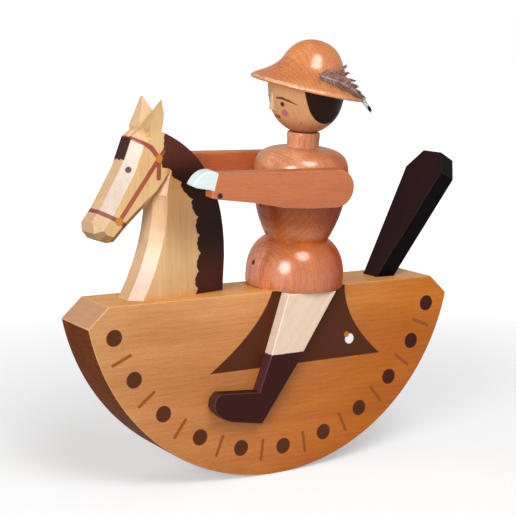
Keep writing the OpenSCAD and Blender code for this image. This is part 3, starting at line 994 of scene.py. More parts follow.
@dataclass
class CarvedHorse:
    """The horse's head and neck with mane and bridle."""

    eye: Point3 = (-75.46, 6.69, 58.34)
    upper_rosette: Point2 = (-61.3, 62.9)
    lower_rosette: Point2 = (-81.2, 36.2)
    crest: tuple[Point2, ...] = (
        (0, -40.1), (8.7, -39.8), (19.1, -38.7), (27.6, -39.6), (35.3, -40.5), (42.4, -43.1), (50.3, -48.7),
        (53.1, -52.3), (54.7, -55.4), (56.9, -55.8), (58.3, -57.3), (59.3, -61.2), (65.2, -60.6),
        (72.0, -59.9), (80, -59.9),
    )
    edge: float = 0.4
    flattest: float = 14.0
    merge: float = 0.08
    crest_top: float = 80.0
    crest_front: float = -64.0
    crest_span: float = 32.0

    def build(self) -> None:
        """Softens the carved solid and paints it."""
        mesh = Shop.copy_of("horse", HORSE_FRAME, self.merge)
        Shop.soften(mesh, self.edge, 2, self.flattest)
        Shop.mark(mesh, "planed", lambda normal: normal.x < -0.35 and 0.5 < abs(normal.y) < 0.86)
        Shop.mark(mesh, "front", lambda normal: normal.x < -0.35)
        Shop.mark(mesh, "under", lambda normal: normal.z < -0.3)
        Shop.keep(mesh, "carved_horse", HORSE_FRAME, Body.TOY, Slot.MAPLE, "horse", [self.coat()])

    def coat(self) -> Material:
        """Pale maple with the painted mane, forelock, eye and bridle, and light and shade painted on its
        planes.
        """
        made = Surface("horse_wood", MAPLE, HORSE_FRAME)
        made.wear_and_highlight_edges(0.25, (0.86, 0.58, 0.30))
        self.shade(made)
        self.mane(made)
        self.bridle(made)
        made.paint(made.spot(made.mirrored(), self.eye, 1.45, 0.25), HORSE_EYE)
        ragged = made.muladd(made.noise(made.point, 1.1, 2.0), 2.2, made.z)
        across = made.step(made.calc("ABSOLUTE", made.y), 4.6, 4.3)
        lock = made.where(made.step(ragged, 63.1, 63.6), across, x=(-70.0, -71.0), z=(72.2, 71.7))
        made.paint(lock, FORELOCK)
        return made.done()

    def shade(self, made: Surface) -> None:
        """Tints the carving with painted light and shade: pale painted reflections on the forehead, the
        face chamfers and the neck's foot, and painted shade and shadow on the neck, the near ear, the
        muzzle, the downward faces and towards the foot.
        """
        x, z = made.x, made.z
        planed, front, under = (made.read(name) for name in ("planed", "front", "under"))
        forehead = made.calc("MAXIMUM", made.where(z=(77.0, 74.0)), made.where(y=(0.5, 1.5)))
        brow = made.step(made.plus(x, z), -58.0, -56.0)
        below_band = made.step(made.muladd(x, 0.566, z), 31.5, 30.0)
        above_strap = made.plus(z, made.muladd(x, 0.549, 8.4))
        strap = made.step(above_strap, -1.0, 1.0, 0.1, 1.0)
        # Painted reflection: noisy pale patches on the chamfers, used on the face and on the neck's foot.
        glare_patches = made.times(planed, made.step(made.noise(made.point, 0.3, 3.0), 0.3, 0.6, 0.75, 1.0))
        face_glare = made.where(glare_patches, brow, below_band, strap, x=(-63.0, -65.0), z=(74.5, 73.0))
        foot = made.where(glare_patches, x=(-56.0, -58.0), z=(24.0, 8.0))
        # Painted shade on the neck's chamfers under the head, the near ear and the muzzle, and the head's
        # painted shadow on the neck's sides.
        throat = made.where(planed, x=(-72.0, -70.0), z=(18.0, 28.0, 60.0, 56.0))
        near_ear = made.where(y=(0.0, -1.0), z=(72.0, 77.0))
        muzzle = made.where(made.step(above_strap, 0.0, -2.0), x=(-75.0, -77.0))
        neck = made.where(x=(-59.0, -56.0), z=(14.0, 44.0, 64.0, 54.0))
        # Pale painted reflections first; then darker towards the foot, and painted shade and shadow, the
        # faces that look down darkest.
        for mask, colour in (
            (made.times(front, forehead), (1.0, 1.06, 1.40)),
            (face_glare, (0.80, 1.0, 1.48)),
            (foot, (0.80, 0.80, 1.04)),
            (made.where(z=(16.0, 4.0)), (0.92, 0.89, 0.83)),
            (throat, (0.77, 0.62, 0.38)),
            (near_ear, (0.88, 0.89, 0.93)),
            (muzzle, (0.89, 0.88, 0.86)),
            (neck, (0.70, 0.57, 0.42)),
            (made.where(under, z=(44.0, 40.0)), (0.55, 0.50, 0.44)),
        ):
            made.tint(mask, colour)

    def mane(self, made: Surface) -> None:
        """Paints the mane, which starts at the crest's line in lobes and small curls."""
        z = made.z
        edge = made.add("ShaderNodeFloatCurve")
        line = edge.mapping.curves[0]
        wanted = [(h / self.crest_top, (at - self.crest_front) / self.crest_span) for h, at in self.crest]
        line.points[0].location, line.points[-1].location = wanted[0], wanted[-1]
        for point in wanted[1:-1]:
            line.points.new(*point)
        edge.mapping.update()
        made.plug(made.calc("DIVIDE", z, self.crest_top), edge.inputs["Value"])
        hair = made.muladd(edge.outputs[0], self.crest_span, self.crest_front)
        ragged = made.minus(made.noise(made.flat(), 0.55, 2.0), 0.5)
        reach = made.times(made.step(z, 38.0, 56.0, 2.1, 3.1), made.step(z, 50.0, 54.0, 1.0, 0.1))
        lobes = self.lobes(made, made.muladd(ragged, 1.6, z), 2.1, 8.3, 0.65, reach)
        curls = self.lobes(made, z, 0.4, 2.7, 0.7, 0.42)
        hair = made.minus(made.plus(hair, 1.7), made.plus(lobes, curls))
        mane = made.where(made.step(made.minus(made.x, hair), -0.2, 0.2), z=(75.6, 74.9))
        made.paint(mane, MANE_BLACK)
        thin = made.calc("MAXIMUM", made.where(z=(52.0, 66.0)), made.where(0.5, z=(30.0, 6.0)))
        made.paint(made.times(mane, thin), MANE_THIN)

    def bridle(self, made: Surface) -> None:
        """Paints the straps and their rosettes on both faces."""
        side, upper, lower = made.flat(), self.upper_rosette, self.lower_rosette
        for start, end, half, end_half, colour in (
            ((-80.5, 73.7), (-72.9, 72.0), 0.85, 0.85, (0.36, 0.085, 0.055)),
            ((-72.9, 72.0), (-68.9, 69.8), 0.85, 0.95, (0.30, 0.055, 0.040)),
            ((-68.9, 69.8), (-65.3, 67.7), 0.95, 1.15, (0.31, 0.050, 0.025)),
            ((-65.3, 67.7), upper, 1.15, 1.1, (0.31, 0.050, 0.025)),
            (upper, (-59.0, 65.9), 1.1, 0.9, (0.24, 0.045, 0.025)),
            (upper, (-61.5, 54.4), 1.0, 1.2, (0.30, 0.056, 0.036)),
            (upper, lower, 1.05, 1.1, (0.33, 0.052, 0.022)),
            ((-94.5, 43.5), lower, 0.95, 0.95, (0.23, 0.050, 0.040)),
            (lower, (-76.9, 33.6), 1.0, 1.0, (0.20, 0.036, 0.028)),
        ):
            mask = made.stroke(side, (start[0], 0, start[1]), (end[0], 0, end[1]), half, end_half)
            made.paint(mask, Paint(colour, 0.96, 0.5))
        for (x, z), radius in ((upper, 1.75), (lower, 1.85)):
            made.paint(made.spot(side, (x, 0, z), radius), ROSETTE)

    @staticmethod
    def lobes(sheet: Sheet, height: Value, start: float, step: float, power: float, reach: Value) -> Socket:
        """Round lobes one above the other, as how far they reach.

        Args:
            sheet: The tree.
            height: Height at which it is read.
            start: Height of a notch.
            step: Height of each lobe.
            power: Below 1 makes the lobes fuller.
            reach: How far the fullest point reaches.

        Returns:
            The reach.
        """
        wave = sheet.calc("SINE", sheet.times(sheet.minus(height, start), math.pi / step))
        return sheet.times(sheet.calc("POWER", sheet.calc("ABSOLUTE", wave), power), reach)


@dataclass
class TailBoard:
    """The painted tail, a tapered board set on the deck."""

    edge: float = 0.45

    def build(self) -> None:
        """Softens the solid and paints it dark, its sides darker still as painted shade."""
        mesh = Shop.copy_of("tail", TAIL_FRAME)
        Shop.soften(mesh, self.edge, 2)
        Shop.mark(mesh, "side", lambda normal: abs(normal.y) > 0.7)
        made = Surface("tail_paint", DARK, TAIL_FRAME)
        # Painted shade: the side faces are darkened below the front and back.
        made.tint(made.read("side"), (0.14, 0.22, 0.28))
        made.wear_and_highlight_edges(0.6, (0.12, 0.07, 0.07))
        Shop.keep(mesh, "tail_board", TAIL_FRAME, Body.TOY, Slot.DARK, "tail", [made.done()])


@dataclass
class TurnedCoat:
    """The rider's body, turned in one piece from skirt to collar."""

    skirt: float = 23.3
    chest: float = 22.3
    waist: float = 22.4
    collar: float = 72.6
    flat: float = 21.35
    buttons: tuple[Point3, ...] = (
        (-20.87, 1.26, 38.15), (-15.6, 1.6, 24.9), (-22.68, 0.98, 11.08),
    )
    camera_right: Point3 = (0.852, -0.523, 0.0)
    foot_z: float = 0.02
    flat_low: float = -14.0
    flat_high: float = 26.0
    steps: int = 144
    smooth: float = 28.0

    def profile(self) -> list[Point2]:
        """Radius and height from the skirt's middle to the dish in the collar."""
        return [
            (0, 0), (self.skirt - 6, 0), (self.skirt - 0.9, 0), (self.skirt - 0.3, 0.25), (self.skirt, 0.9),
            (self.skirt, 3.2),
            *arc((self.skirt - 12.4, 5.6), 12.4, self.waist - 4.8, 0, 72, 22),
            *arc((self.chest - 57.6, 52), 57.6, 60, -29.6, 0, 22),
            *curve((self.chest, 52), (self.chest + 0.4, 61.5), (19.5, 64.8), (8.2, 65.6), 24),
            *curve((7.6, 66.2), (7.2, 68.6), (8.1, 70.2), (7.6, self.collar - 0.25), 8),
            (7.2, self.collar), (6.6, self.collar - 0.1), (6.0, self.collar - 0.6), (5.2, 70.9), (0, 70.9),
        ]

    def build(self) -> None:
        """Turns the coat, flattens its shoulders and seats it on the board."""
        mesh = Shop.turn(self.profile(), self.steps)
        to_axle = AXLE_FRAME.inverted() @ SEAT_FRAME
        for vert in mesh.verts:
            at = to_axle @ vert.co
            if abs(at.y) > self.flat and self.flat_low < at.z < self.flat_high:
                at.y = math.copysign(self.flat, at.y)
                vert.co = to_axle.inverted() @ at
            world = SEAT_FRAME @ vert.co
            if vert.co.z < self.foot_z and world.y > 0:
                world.z = DECK
                vert.co = SEAT_FRAME.inverted() @ world
        Shop.smooth_turned(mesh, self.smooth)
        Shop.keep(mesh, "turned_coat", SEAT_FRAME, Body.TOY, Slot.COAT, "torso", [self.stain()])

    def stain(self) -> Material:
        """Reddish stain with the painted buttons, and painted light and shade: a paler chest and collar,
        the arms' shadow painted on the waist, the side towards the camera's left paler and the right
        darker.
        """
        made = Surface("coat_wood", STAINED, SEAT_FRAME, place(0, 0, 0, ("Z", -164.0)))
        # Painted sheen: the chest and collar are made paler.
        made.tint(made.where(z=(46.0, 66.0)), (1.24, 1.75, 3.3))
        # Painted shadow of the arms across the waist.
        waist = made.where(z=(23.5, 34.0, 52.0, 38.0))
        made.tint(waist, (0.64, 0.55, 0.53))
        dull = made.calc("MAXIMUM", waist, made.where(z=(65.0, 67.0)))
        made.shine = made.times(made.shine, made.step(dull, 0.0, 1.0, 1.0, 0.2))
        # Painted light and shade across the view: paler towards the camera's left, a little darker low on
        # the skirt from the middle rightwards, darker and redder to the right, paler at the chest's left.
        across = made.vector("DOT_PRODUCT", made.point, self.camera_right)
        low = made.where(z=(34.0, 22.0))
        for mask, colour in (
            (made.times(made.step(across, -6.0, -19.0), low), (1.40, 1.85, 4.0)),
            (made.times(made.step(across, -14.0, -2.0), low), (0.96, 0.90, 0.78)),
            (made.step(across, 8.0, 20.0), (0.96, 0.55, 0.12)),
            (made.where(made.step(across, 4.0, -12.0), z=(46.0, 56.0)), (1.22, 1.40, 1.60)),
        ):
            made.tint(mask, colour)
        for centre in self.buttons:
            made.paint(made.spot(made.point, centre, 1.25, 0.2), COAT_BUTTON)
        return made.done()


@dataclass
class Legs:
    """Both legs, sawn boards in breeches and boots."""

    boot_top: float = -28.6
    edge: float = 0.4

    def build(self) -> None:
        """Softens and paints each leg."""
        for node in ("near_leg", "far_leg"):
            name = node + "_board"
            mesh = Shop.copy_of(node, DECK_FRAME)
            Shop.soften(mesh, self.edge, 2)
            Shop.mark(mesh, "front", lambda normal: normal.x < -0.5)
            Shop.keep(mesh, name, DECK_FRAME, Body.TOY, Slot.LEG, node, [self.paint(name)])

    def paint(self, name: str) -> Material:
        """Pale breeches with slanting grain above a dark boot, with painted sheen on the boot's edges and
        front.

        Args:
            name: Name of the piece.

        Returns:
            The material.
        """
        made = Surface(name + "_paint", BREECHES, DECK_FRAME, place(0, 0, 0, ("Y", 38.0)))
        made.wear_and_highlight_edges(0.7, (0.97, 0.86, 0.74))
        line = made.muladd(made.noise(made.point, 0.5, 1.0), 0.4, made.z)
        boot = made.step(line, self.boot_top + 0.4, self.boot_top - 0.1)
        made.paint(boot, BOOT)
        # Painted sheen: paler purple on the boot's rounded edges and its front faces.
        made.paint(made.times(made.read("arris"), boot, 0.5), BOOT_EDGE_SHEEN)
        made.paint(made.times(made.read("front"), boot), BOOT_FRONT_SHEEN)
        return made.done()


@dataclass
class Arms:
    """Both arms, thin boards with painted hands."""

    cuff: Point2 = (-63.7, 8.8)
    palm: Point2 = (-65.1, 1.4)
    button: Point2 = (-62.2, -1.2)
    button_radius: float = 1.35
    edge: float = 0.55
    flattest: float = 25.0

    def build(self) -> None:
        """Softens and paints each arm, the far one in a brighter stain as painted light."""
        for node, wood in (("near_arm", SLEEVE), ("far_arm", FAR_SLEEVE_PAINTED_LIGHT)):
            name = node + "_board"
            mesh = Shop.copy_of(node, AXLE_FRAME)
            Shop.soften(mesh, self.edge, 3, self.flattest)
            Shop.keep(mesh, name, AXLE_FRAME, Body.ARMS, Slot.COAT, node, [self.paint(name, wood)])

    def paint(self, name: str, wood: Wood) -> Material:
        """Stained sleeve, white hand and dark cuff button.

        Args:
            name: Name of the piece.
            wood: Its stained wood.

        Returns:
            The material.
        """
        made = Surface(name + "_stain", wood, AXLE_FRAME, GRAIN_X)
        made.wear_and_highlight_edges(0.35, (0.74, 0.34, 0.16))
        lean = (self.cuff[0] - self.palm[0]) / (self.cuff[1] - self.palm[1])
        border = made.muladd(made.minus(made.z, self.palm[1]), lean, self.palm[0])
        hand = made.where(made.step(made.minus(border, made.x), -0.15, 0.15), z=(1.0, 1.4))
        made.paint(hand, HAND_WHITE)
        made.paint(
            made.spot(made.flat(), (self.button[0], 0, self.button[1]), self.button_radius, 0.2),
            CUFF_BUTTON,
        )
        return made.done()


@dataclass
class DollHead:
    """The head ball with its painted face, and the small nose."""

    radius: float = 17.3
    flare: float = 0.95
    side: float = 6.2
    turn: float = -5.5
    brow: tuple[Point3, ...] = (
        (-17.2, 3.67, -0.45), (-16.0, 7.2, -0.35), (-13.9, 10.4, -1.3), (-11.0, 13.25, -2.9),
    )
    brow_halves: tuple[float, ...] = (0.45, 0.6, 0.5, 0.12)
    steps: int = 128
    smooth: float = 40.0
    nose_size: Point3 = (3.4, 2.6, 8.4)
    nose_taper: float = 0.55
    nose_lean: float = 0.35
    nose_foot: float = 0.05
    nose_edge: float = 0.55
    nose_at: Point2 = (0.6, -2.3)

    def profile(self) -> list[Point2]:
        """Radius and height of a ball with an upright side under the hat."""
        low, high = (math.degrees(math.asin(h / self.radius)) for h in (-3.0, self.side))
        wide = self.radius + self.flare
        return [
            (0, -self.radius), *arc((0, 0), self.radius, self.radius, -88, low - 3, 40),
            *curve(
                (math.sqrt(self.radius**2 - 9), -3), (wide - 0.4, 0.3), (wide, 3.4), (wide, self.side), 14
            ),
            *arc((0, 0), self.radius, self.radius, high, 88, 20), (0, self.radius),
        ]

    def build(self) -> None:
        """Turns the head and carves the nose."""
        mesh = Shop.turn(self.profile(), self.steps)
        Shop.smooth_turned(mesh, self.smooth)
        Shop.keep(mesh, "head_ball", HEAD_FRAME, Body.HEAD, Slot.MAPLE, "head", [self.face()])
        self.nose()

    def nose(self) -> None:
        """A small wedge with rounded edges, sunk into the ball."""
        mesh = bmesh.new()
        bmesh.ops.create_cube(mesh, size=1.0)
        bmesh.ops.scale(mesh, vec=self.nose_size, verts=mesh.verts)
        for vert in mesh.verts:
            front = vert.co.x < 0
            if vert.co.z > 0:
                vert.co.x += self.nose_lean * front
                vert.co.y *= self.nose_taper
            else:
                vert.co.x -= self.nose_foot * front
        bmesh.ops.subdivide_edges(mesh, edges=mesh.edges[:], cuts=1, use_grid_fill=True)
        Shop.bevel(mesh, math.degrees(0.5), self.nose_edge, 3)
        for face in mesh.faces:
            face.smooth = True
        sunk, low = self.nose_at
        at = HEAD_FRAME @ place(0, 0, 0, ("Z", self.turn)) @ place(sunk - self.radius, 0, low)
        made = Surface("nose_wood", NOSE_WOOD, HEAD_FRAME)
        Shop.keep(mesh, "small_nose", at, Body.HEAD, Slot.MAPLE, "nose", [made.done()])

    def face(self) -> Material:
        """Maple with painted eyes, brows, cheeks, lips and hair, and painted shade towards the bottom of
        the ball.
        """
        made = Surface("head_paint", HEAD_WOOD, HEAD_FRAME @ place(0, 0, 0, ("Z", self.turn)))
        one_side = made.mirrored()
        made.paint(made.spot(one_side, (-14.0, 6.9, -7.1), 1.8, 0.7), CHEEK)
        made.paint(made.spot(one_side, (-15.6, 6.8, -3.1), 1.15, 0.25), EYE)
        ends = list(zip(self.brow, self.brow_halves))
        for (start, half), (end, end_half) in zip(ends, ends[1:]):
            made.paint(made.stroke(one_side, start, end, half, end_half), BROW)
        made.paint(made.stroke(made.point, (-14.35, 1.9, -9.4), (-14.35, -1.9, -9.4), 1.0, 1.0, 0.2), LIP)
        made.paint(
            made.stroke(made.point, (-7.6, -10.9, -11.0), (-6.9, -10.4, -12.2), 0.25, 0.12), NECK_LINE
        )
        # Painted shade: the ball darkens towards its bottom.
        made.tint(made.where(z=(-8.0, -16.0)), (0.76, 0.57, 0.58))
        side = made.vector("DOT_PRODUCT", one_side, (0.347, 0.932, 0.105))
        made.paint(made.calc("MAXIMUM", made.step(side, 11.65, 11.95), made.where(x=(8.2, 8.6))), HAIR)
        return made.done()


@dataclass
class TurnedHat:
    """The hat, turned in one piece and set on the head."""

    brim: float = 27.5
    crown: float = 26.4
    head: float = 17.3
    rim: float = 3.4
    steps: int = 144
    smooth: float = 45.0

    def profile(self) -> list[Point2]:
        """Radius and height from the top of the hollow round the brim to the crown."""
        low = self.rim
        inside = math.degrees(math.asin(low / self.head))
        return [
            (0, self.head), *arc((0, 0), self.head, self.head, 88, inside, 24),
            (self.head + 0.6, low - 0.05), (21, low), (25, low + 0.02),
            *arc((self.brim - 0.9, 4.3), 0.9, 0.9, -90, 60, 8),
            *self.outside(),
        ]

    def outside(self) -> list[Point2]:
        """Radius and height of the outer face, from the brim to the crown."""
        return [
            *curve((self.brim - 0.8, 5.5), (21.5, 8.9), (16.6, 10.8), (14.2, 16.4), 24),
            *curve((14.2, 16.4), (12.3, 20.8), (8.6, self.crown), (0, self.crown), 22)[1:],
        ]

    def radius_at(self, height: float) -> float:
        """Radius of the outer face at a height."""
        face = self.outside()
        if height <= face[0][1]:
            return face[0][0]
        for (r, z), (next_r, next_z) in zip(face, face[1:]):
            if z <= height <= next_z:
                return r + (next_r - r) * (height - z) / max(next_z - z, 0.001)
        return 0.0

    def build(self) -> None:
        """Turns the hat with its hollow, with a painted highlight along the brim's edge."""
        mesh = Shop.turn(self.profile(), self.steps)
        Shop.smooth_turned(mesh, self.smooth)
        made = Surface("hat_wood", HAT_WOOD, HAT_FRAME, place(0, 0, 0, ("X", 68.0)))
        out = made.vector("LENGTH", made.joined(made.x, made.y, 0.0))
        # Painted highlight: a pale broken strip round the brim's rounded edge, strongest towards the front.
        patches = made.step(made.noise(made.point, 0.5, 3.0), 0.35, 0.6, 0.15, 0.6)
        lightened_edge = made.times(patches, made.step(made.x, 4.0, -14.0, 0.15, 1.0))
        edge = made.where(made.step(out, self.brim - 1.1, self.brim - 0.6), lightened_edge, z=(3.9, 4.5))
        made.colour = made.blend(edge, made.colour, (0.92, 0.60, 0.36))
        Shop.keep(mesh, "turned_hat", HAT_FRAME, Body.HEAD, Slot.COAT, "hat", [made.done()])


@dataclass
class Feather:
    """A small downy feather stuck in the crown."""

    seed: int = 7
    spine: tuple[Point2, ...] = (
        (-3.2, -1.8), (2.5, -0.9), (7.5, -0.3), (13.0, -1.0), (19.5, -2.7), (24.0, -4.3), (27.4, -6.3)
    )
    upper: tuple[Point2, ...] = (
        (-3.3, -0.8), (-2.6, 1.6), (-0.3, 2.9), (2.5, 4.1), (5.0, 5.0), (8.0, 4.2), (11.5, 2.9),
        (14.5, 1.6), (18.0, -0.2), (21.5, -1.8), (24.5, -3.8), (27.4, -6.0),
    )
    lower: tuple[Point2, ...] = (
        (-3.2, -2.4), (-2.0, -3.4), (0.0, -4.1), (3.3, -4.6), (7.7, -4.6), (12.3, -4.9), (17.3, -4.8),
        (20.5, -4.4), (24.0, -5.6), (27.4, -6.8),
    )
    spikes: tuple[tuple[Point2, Point2], ...] = (
        ((5.6, 4.3), (7.2, 8.8)), ((7.2, 3.4), (9.8, 5.7)), ((10.6, 2.3), (14.8, 3.6)),
        ((13.5, 1.2), (17.2, 1.5)), ((16.0, -0.2), (19.5, -0.3)), ((19.2, -1.7), (22.9, -1.3)),
    )
    barbs: int = 270
    spike_strands: int = 26
    down_strands: int = 300
    quill_steps: int = 16
    quill_from: Point3 = (-3.21, -18.22, 12.4)
    quill_to: Point3 = (20.07, -22.29, 6.9)
    quill: Point2 = (0.42, 0.4)
    taper: float = 2.2
    thinnest: float = 0.15
    bow: float = 0.16
    hat_gap: float = 0.4
    hat: TurnedHat = field(default_factory=TurnedHat)
    rng: random.Random = field(init=False)
    to_hat: Matrix = field(init=False)

    def frame_at(self) -> Matrix:
        """Frame whose X runs along the quill and Z up, in the vane's plane."""
        start = HAT_FRAME @ Vector(self.quill_from)
        end = HAT_FRAME @ Vector(self.quill_to)
        along = (end - start).normalized()
        out = along.cross(UP).normalized()
        up = out.cross(along)
        turn = Matrix((along, -out, up)).transposed().to_4x4()
        return Matrix.Translation(start) @ turn

    @staticmethod
    def on_line(line: Sequence[Point2], share: float) -> Vector:
        """Point at a share of a line's length."""
        at = min(max(share, 0.0), 0.9999) * (len(line) - 1)
        i = int(at)
        a, b = Vector((line[i][0], 0, line[i][1])), Vector((line[i + 1][0], 0, line[i + 1][1]))
        return a.lerp(b, at - i)

    def strand(
        self, mesh: Mesh, points: Sequence[Vector], wide: float, thick: float, tone: float,
        cover: float = 1.0,
    ) -> None:
        """A tapering strand with a diamond section along points.

        Args:
            mesh: Where it is added.
            points: Its line.
            wide: Half its width at the root.
            thick: Half its thickness at the root.
            tone: How pale it is.
            cover: How well it covers what lies behind.
        """
        tones, reaches, covers = (mesh.verts.layers.float[name] for name in ("tone", "reach", "cover"))
        corners = bmesh.ops.create_circle(mesh, cap_ends=True, radius=1.0, segments=4)["verts"]
        face = corners[0].link_faces[0]
        for i, point in enumerate(points):
            share = i / (len(points) - 1)
            size = max(self.thinnest, 1 - share**self.taper)
            way = (points[min(i + 1, len(points) - 1)] - points[max(i - 1, 0)]).normalized()
            side = way.cross(OUT).normalized()
            if i:
                face = bmesh.ops.extrude_discrete_faces(mesh, faces=[face])["faces"][0]
                corners = list(face.verts)
            for k, vert in enumerate(corners):
                turn = k * math.tau / 4
                wider, thicker = math.cos(turn) * wide * size, math.sin(turn) * thick * size
                vert.co = point + side * wider + OUT * thicker
                vert[tones], vert[reaches], vert[covers] = tone, share, cover

    def clear(self, point: Vector) -> Vector:
        """Moves a point of the vane out of the hat.

        Args:
            point: The point in the vane's frame.

        Returns:
            The point, or the nearest one just off the hat.
        """
        at = self.to_hat @ point
        wanted = self.hat.radius_at(at.z) + self.hat_gap
        if at.xy.length >= wanted:
            return point
        at.xy *= wanted / at.xy.length
        return self.to_hat.inverted() @ at

    def barb(self, mesh: Mesh, start: Vector, end: Vector, lift: float, wide: float, cover: float) -> None:
        """One bent barb.

        Args:
            mesh: Where it is added.
            start: Its root on the quill.
            end: Its tip.
            lift: How far it bows to the side.
            wide: Half its width.
            cover: How well it covers.
        """
        way = end - start
        bow = way.cross(OUT).normalized() * lift * way.length * self.bow
        points = [
            self.clear(start + way * t + bow * math.sin(math.pi * t)) for t in (0, 0.28, 0.55, 0.8, 1.0)
        ]
        self.strand(mesh, points, wide, 0.07, self.rng.random(), cover)

    def build(self) -> None:
        """Lays the quill, the barbs on both its sides, their clumped tips and the down."""
        self.rng = random.Random(self.seed)
        self.to_hat = HAT_FRAME.inverted() @ self.frame_at()
        mesh = bmesh.new()
        for name in ("tone", "reach", "cover"):
            mesh.verts.layers.float.new(name)
        steps = self.quill_steps
        quill = [self.on_line(self.spine, i / steps) for i in range(steps + 1)]
        self.strand(mesh, quill, *self.quill, 0.7)
        for line, lift, cover in ((self.upper, 0.9, 0.75), (self.lower, -0.7, 0.5)):
            for i in range(self.barbs):
                share = i / self.barbs
                start = self.on_line(self.spine, share - 0.05)
                end = start.lerp(self.on_line(line, share + 0.11), self.rng.uniform(0.55, 1.06))
                end.y = self.rng.uniform(-0.8, 0.4)
                self.barb(mesh, start, end, lift, 0.14, cover)
        for (root_x, root_z), (tip_x, tip_z) in self.spikes:
            for _ in range(self.spike_strands):
                start = Vector((root_x + self.rng.gauss(-0.6, 0.7), 0, root_z + self.rng.gauss(-0.8, 0.7)))
                end = Vector(
                    (
                        tip_x + self.rng.gauss(0, 0.25), self.rng.gauss(-0.3, 0.3),
                        tip_z + self.rng.gauss(-0.2, 0.3),
                    )
                )
                end = start.lerp(end, self.rng.uniform(0.6, 1.0))
                self.barb(mesh, start, end, 0.5, 0.16, 0.95)
        for _ in range(self.down_strands):
            start = self.on_line(self.spine, self.rng.uniform(0.0, 0.35))
            angle = self.rng.uniform(0.6, 5.7)
            long = self.rng.uniform(1.2, 4.0)
            end = start + Vector(
                (math.cos(angle) * long, self.rng.uniform(-1.3, 0.2), math.sin(angle) * long * 1.3)
            )
            self.barb(mesh, start, end, self.rng.uniform(-1.5, 1.5), 0.09, 0.35)
        bmesh.ops.recalc_face_normals(mesh, faces=mesh.faces)
        for face in mesh.faces:
            face.smooth = True
        Shop.keep(mesh, "downy_feather", self.frame_at(), Body.HEAD, Slot.FEATHER, "feather", [self.down()])

    def down(self) -> Material:
        """Brown and mauve down, dark clumped tips, a white patch and a black end."""
        made = Surface("feather_down", DOWN, self.frame_at(), GRAIN_X)
        x = made.x
        tone, reach, cover = (made.read(name) for name in ("tone", "reach", "cover"))
        patches = made.plus(made.noise(made.point, 0.35, 2.0), made.times(tone, 0.5))
        spikes = made.times(made.step(reach, 0.35, 0.8), made.band(cover, 0.85, 0.97, 0.01))
        for mask, paint in (
            (made.step(patches, 0.62, 0.95), DOWN_PALE),
            (made.where(made.step(tone, 0.3, 0.7), x=(5.0, -1.0)), DOWN_ROOT),
            (made.where(z=(-1.5, -4.0), x=(2.0, 8.0)), DOWN_RUSSET),
            (spikes, SPIKE_DARK),
            (made.where(made.step(reach, 0.5, 0.9), x=(13.0, 17.0)), TIP_DARK),
            (made.band(x, 21.0, 24.6, 0.7), PATCH_WHITE),
            (made.where(x=(24.4, 25.2)), END_BLACK),
        ):
            made.paint(mask, paint)
        veil = made.times(cover, made.step(reach, 0.4, 1.0, 1.0, 0.4))
        made.plug(made.calc("MAXIMUM", veil, made.step(x, 19.0, 24.0)), made.shader.inputs["Alpha"])
        return made.done()


class HiddenParts:
    """Dowels, axle and peg inside the joints, which keep the frame's solids."""

    nodes: tuple[str, ...] = (
        "horse_dowels", "tail_dowel", "torso_dowel", "near_leg_dowels", "far_leg_dowels", "arm_axle",
        "neck_peg",
    )

    def build(self) -> None:
        """Gives the frame's own nodes a raw wood finish."""
        for node in self.nodes:
            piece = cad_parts[node]
            piece.data.materials.clear()
            piece.data.materials.append(Surface(node + "_wood", DOWEL).done())
            log.info("%s: raw wood", node)


# Camera, light and floor


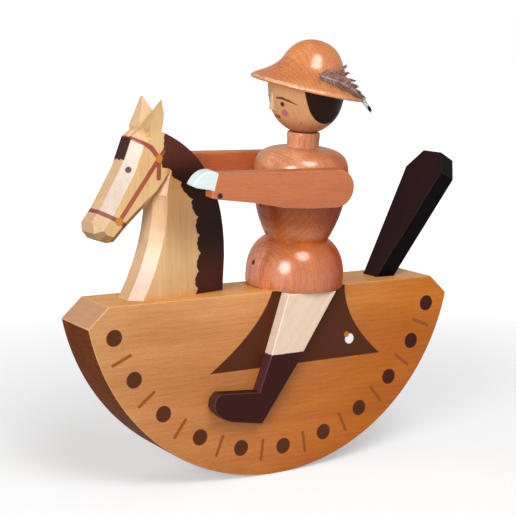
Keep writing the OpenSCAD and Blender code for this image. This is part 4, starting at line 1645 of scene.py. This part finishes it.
@dataclass
class Studio:
    """Camera, lamps, world and floor."""

    eye: Point3 = (-350.234, -561.481, 209.520)
    right: Point3 = (0.85237083, -0.52270594, 0.01557139)
    down: Point3 = (-0.07147247, -0.14594335, -0.98670777)
    ahead: Point3 = (0.51803056, 0.83992799, -0.16175694)
    focus: float = 1424.4613
    frame_px: float = 516.0
    sensor: float = 36.0
    aim: Point3 = (0, 0, 0.11)
    paper: Colour = (0.72, 0.72, 0.72)
    paper_glow: tuple[float, ...] = (0.12, 0.75, 0.42, 1.0)
    ceiling: tuple[float, ...] = (0.25, 0.8, 1.0, 0.35)
    ambient: float = 0.22

    def camera(self) -> None:
        """Puts the camera where the photograph was taken from."""
        data = bpy.data.cameras.new("camera")
        data.sensor_width = self.sensor
        data.lens = self.sensor * self.focus / self.frame_px
        data.clip_start, data.clip_end = 0.01, 50.0
        item = bpy.data.objects.new("camera", data)
        axes = Matrix((self.right, [-v for v in self.down], [-v for v in self.ahead])).transposed().to_4x4()
        item.matrix_world = Matrix.Translation(Vector(self.eye) * MM) @ axes
        bpy.context.scene.collection.objects.link(item)
        bpy.context.scene.camera = item

    def lamp(
        self, name: str, at: Sequence[float], size: Point2, power: float, colour: Colour = (1, 1, 1)
    ) -> None:
        """A soft lamp that faces the toy.

        Args:
            name: Its name.
            at: Its place in metres.
            size: Width and height in metres.
            power: Watts.
            colour: Colour of its light.
        """
        data = bpy.data.lights.new(name, "AREA")
        data.shape, data.size, data.size_y = "ELLIPSE", *size
        data.energy, data.color = power, colour
        item = bpy.data.objects.new(name, data)
        way = Vector(self.aim) - Vector(at)
        item.matrix_world = Matrix.Translation(at) @ way.to_track_quat("-Z", "Y").to_matrix().to_4x4()
        bpy.context.scene.collection.objects.link(item)

    def floor(self) -> None:
        """A plain pale floor that looks white and keeps the toy's shadow."""
        mesh = bmesh.new()
        bmesh.ops.create_grid(mesh, x_segments=1, y_segments=1, size=6.0)
        data = bpy.data.meshes.new("floor")
        mesh.to_mesh(data)
        mesh.free()
        item = bpy.data.objects.new("floor", data)
        bpy.context.scene.collection.objects.link(item)
        item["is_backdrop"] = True
        material = bpy.data.materials.new("floor_paper")
        material.use_nodes = True
        sheet = Sheet(material.node_tree)
        shader = material.node_tree.nodes["Principled BSDF"]
        shader.inputs["Base Color"].default_value = (*self.paper, 1)
        shader.inputs["Roughness"].default_value = 0.9
        shader.inputs["Specular IOR Level"].default_value = 0.0
        shader.inputs["Emission Color"].default_value = (1, 1, 1, 1)
        place_on_floor = sheet.add("ShaderNodeTexCoord").outputs["Object"]
        glow = sheet.step(sheet.vector("LENGTH", place_on_floor), *self.paper_glow)
        sheet.plug(sheet.times(self.seen(sheet), glow), shader.inputs["Emission Strength"])
        data.materials.append(material)

    def seen(self, sheet: Sheet) -> Socket:
        """1 for rays that the camera, a gloss or a clear thing sends."""
        path = sheet.add("ShaderNodeLightPath").outputs
        gloss = sheet.plus(path["Is Glossy Ray"], path["Is Transmission Ray"])
        return sheet.plus(path["Is Camera Ray"], gloss, clamp=True)

    def world(self) -> None:
        """Even light from all sides, seen as white with a greyer ceiling."""
        world = bpy.data.worlds.new("studio")
        bpy.context.scene.world = world
        world.use_nodes = True
        sheet = Sheet(world.node_tree)
        background = world.node_tree.nodes["Background"]
        background.inputs["Color"].default_value = (1, 1, 1, 1)
        _, _, up = sheet.parts(sheet.add("ShaderNodeTexCoord").outputs["Generated"])
        shown = sheet.step(up, *self.ceiling)
        sheet.plug(
            sheet.step(self.seen(sheet), 0.0, 1.0, self.ambient, shown), background.inputs["Strength"]
        )

    def build(self) -> None:
        """Sets up camera, lamps, world and floor."""
        self.camera()
        self.world()
        self.floor()
        self.lamp("key", (-0.07, -0.78, 0.99), (0.58, 0.66), 7.2)
        self.lamp("side", (-0.93, -0.64, 0.42), (0.52, 0.62), 8.5)
        bpy.context.scene.view_settings.view_transform = "Standard"


def corners() -> list[list[float]]:
    """The object's box as plain lists."""
    return [list(corner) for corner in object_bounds()]


def main() -> None:
    """Builds the toy and its studio."""
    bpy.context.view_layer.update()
    for kind in (
        RockingBoard, CarvedHorse, TailBoard, TurnedCoat, Legs, Arms, DollHead, TurnedHat, Feather,
        HiddenParts, Studio,
    ):
        kind().build()
        log.info("%s built", kind.__name__)


if __name__ == "__main__":
    main()
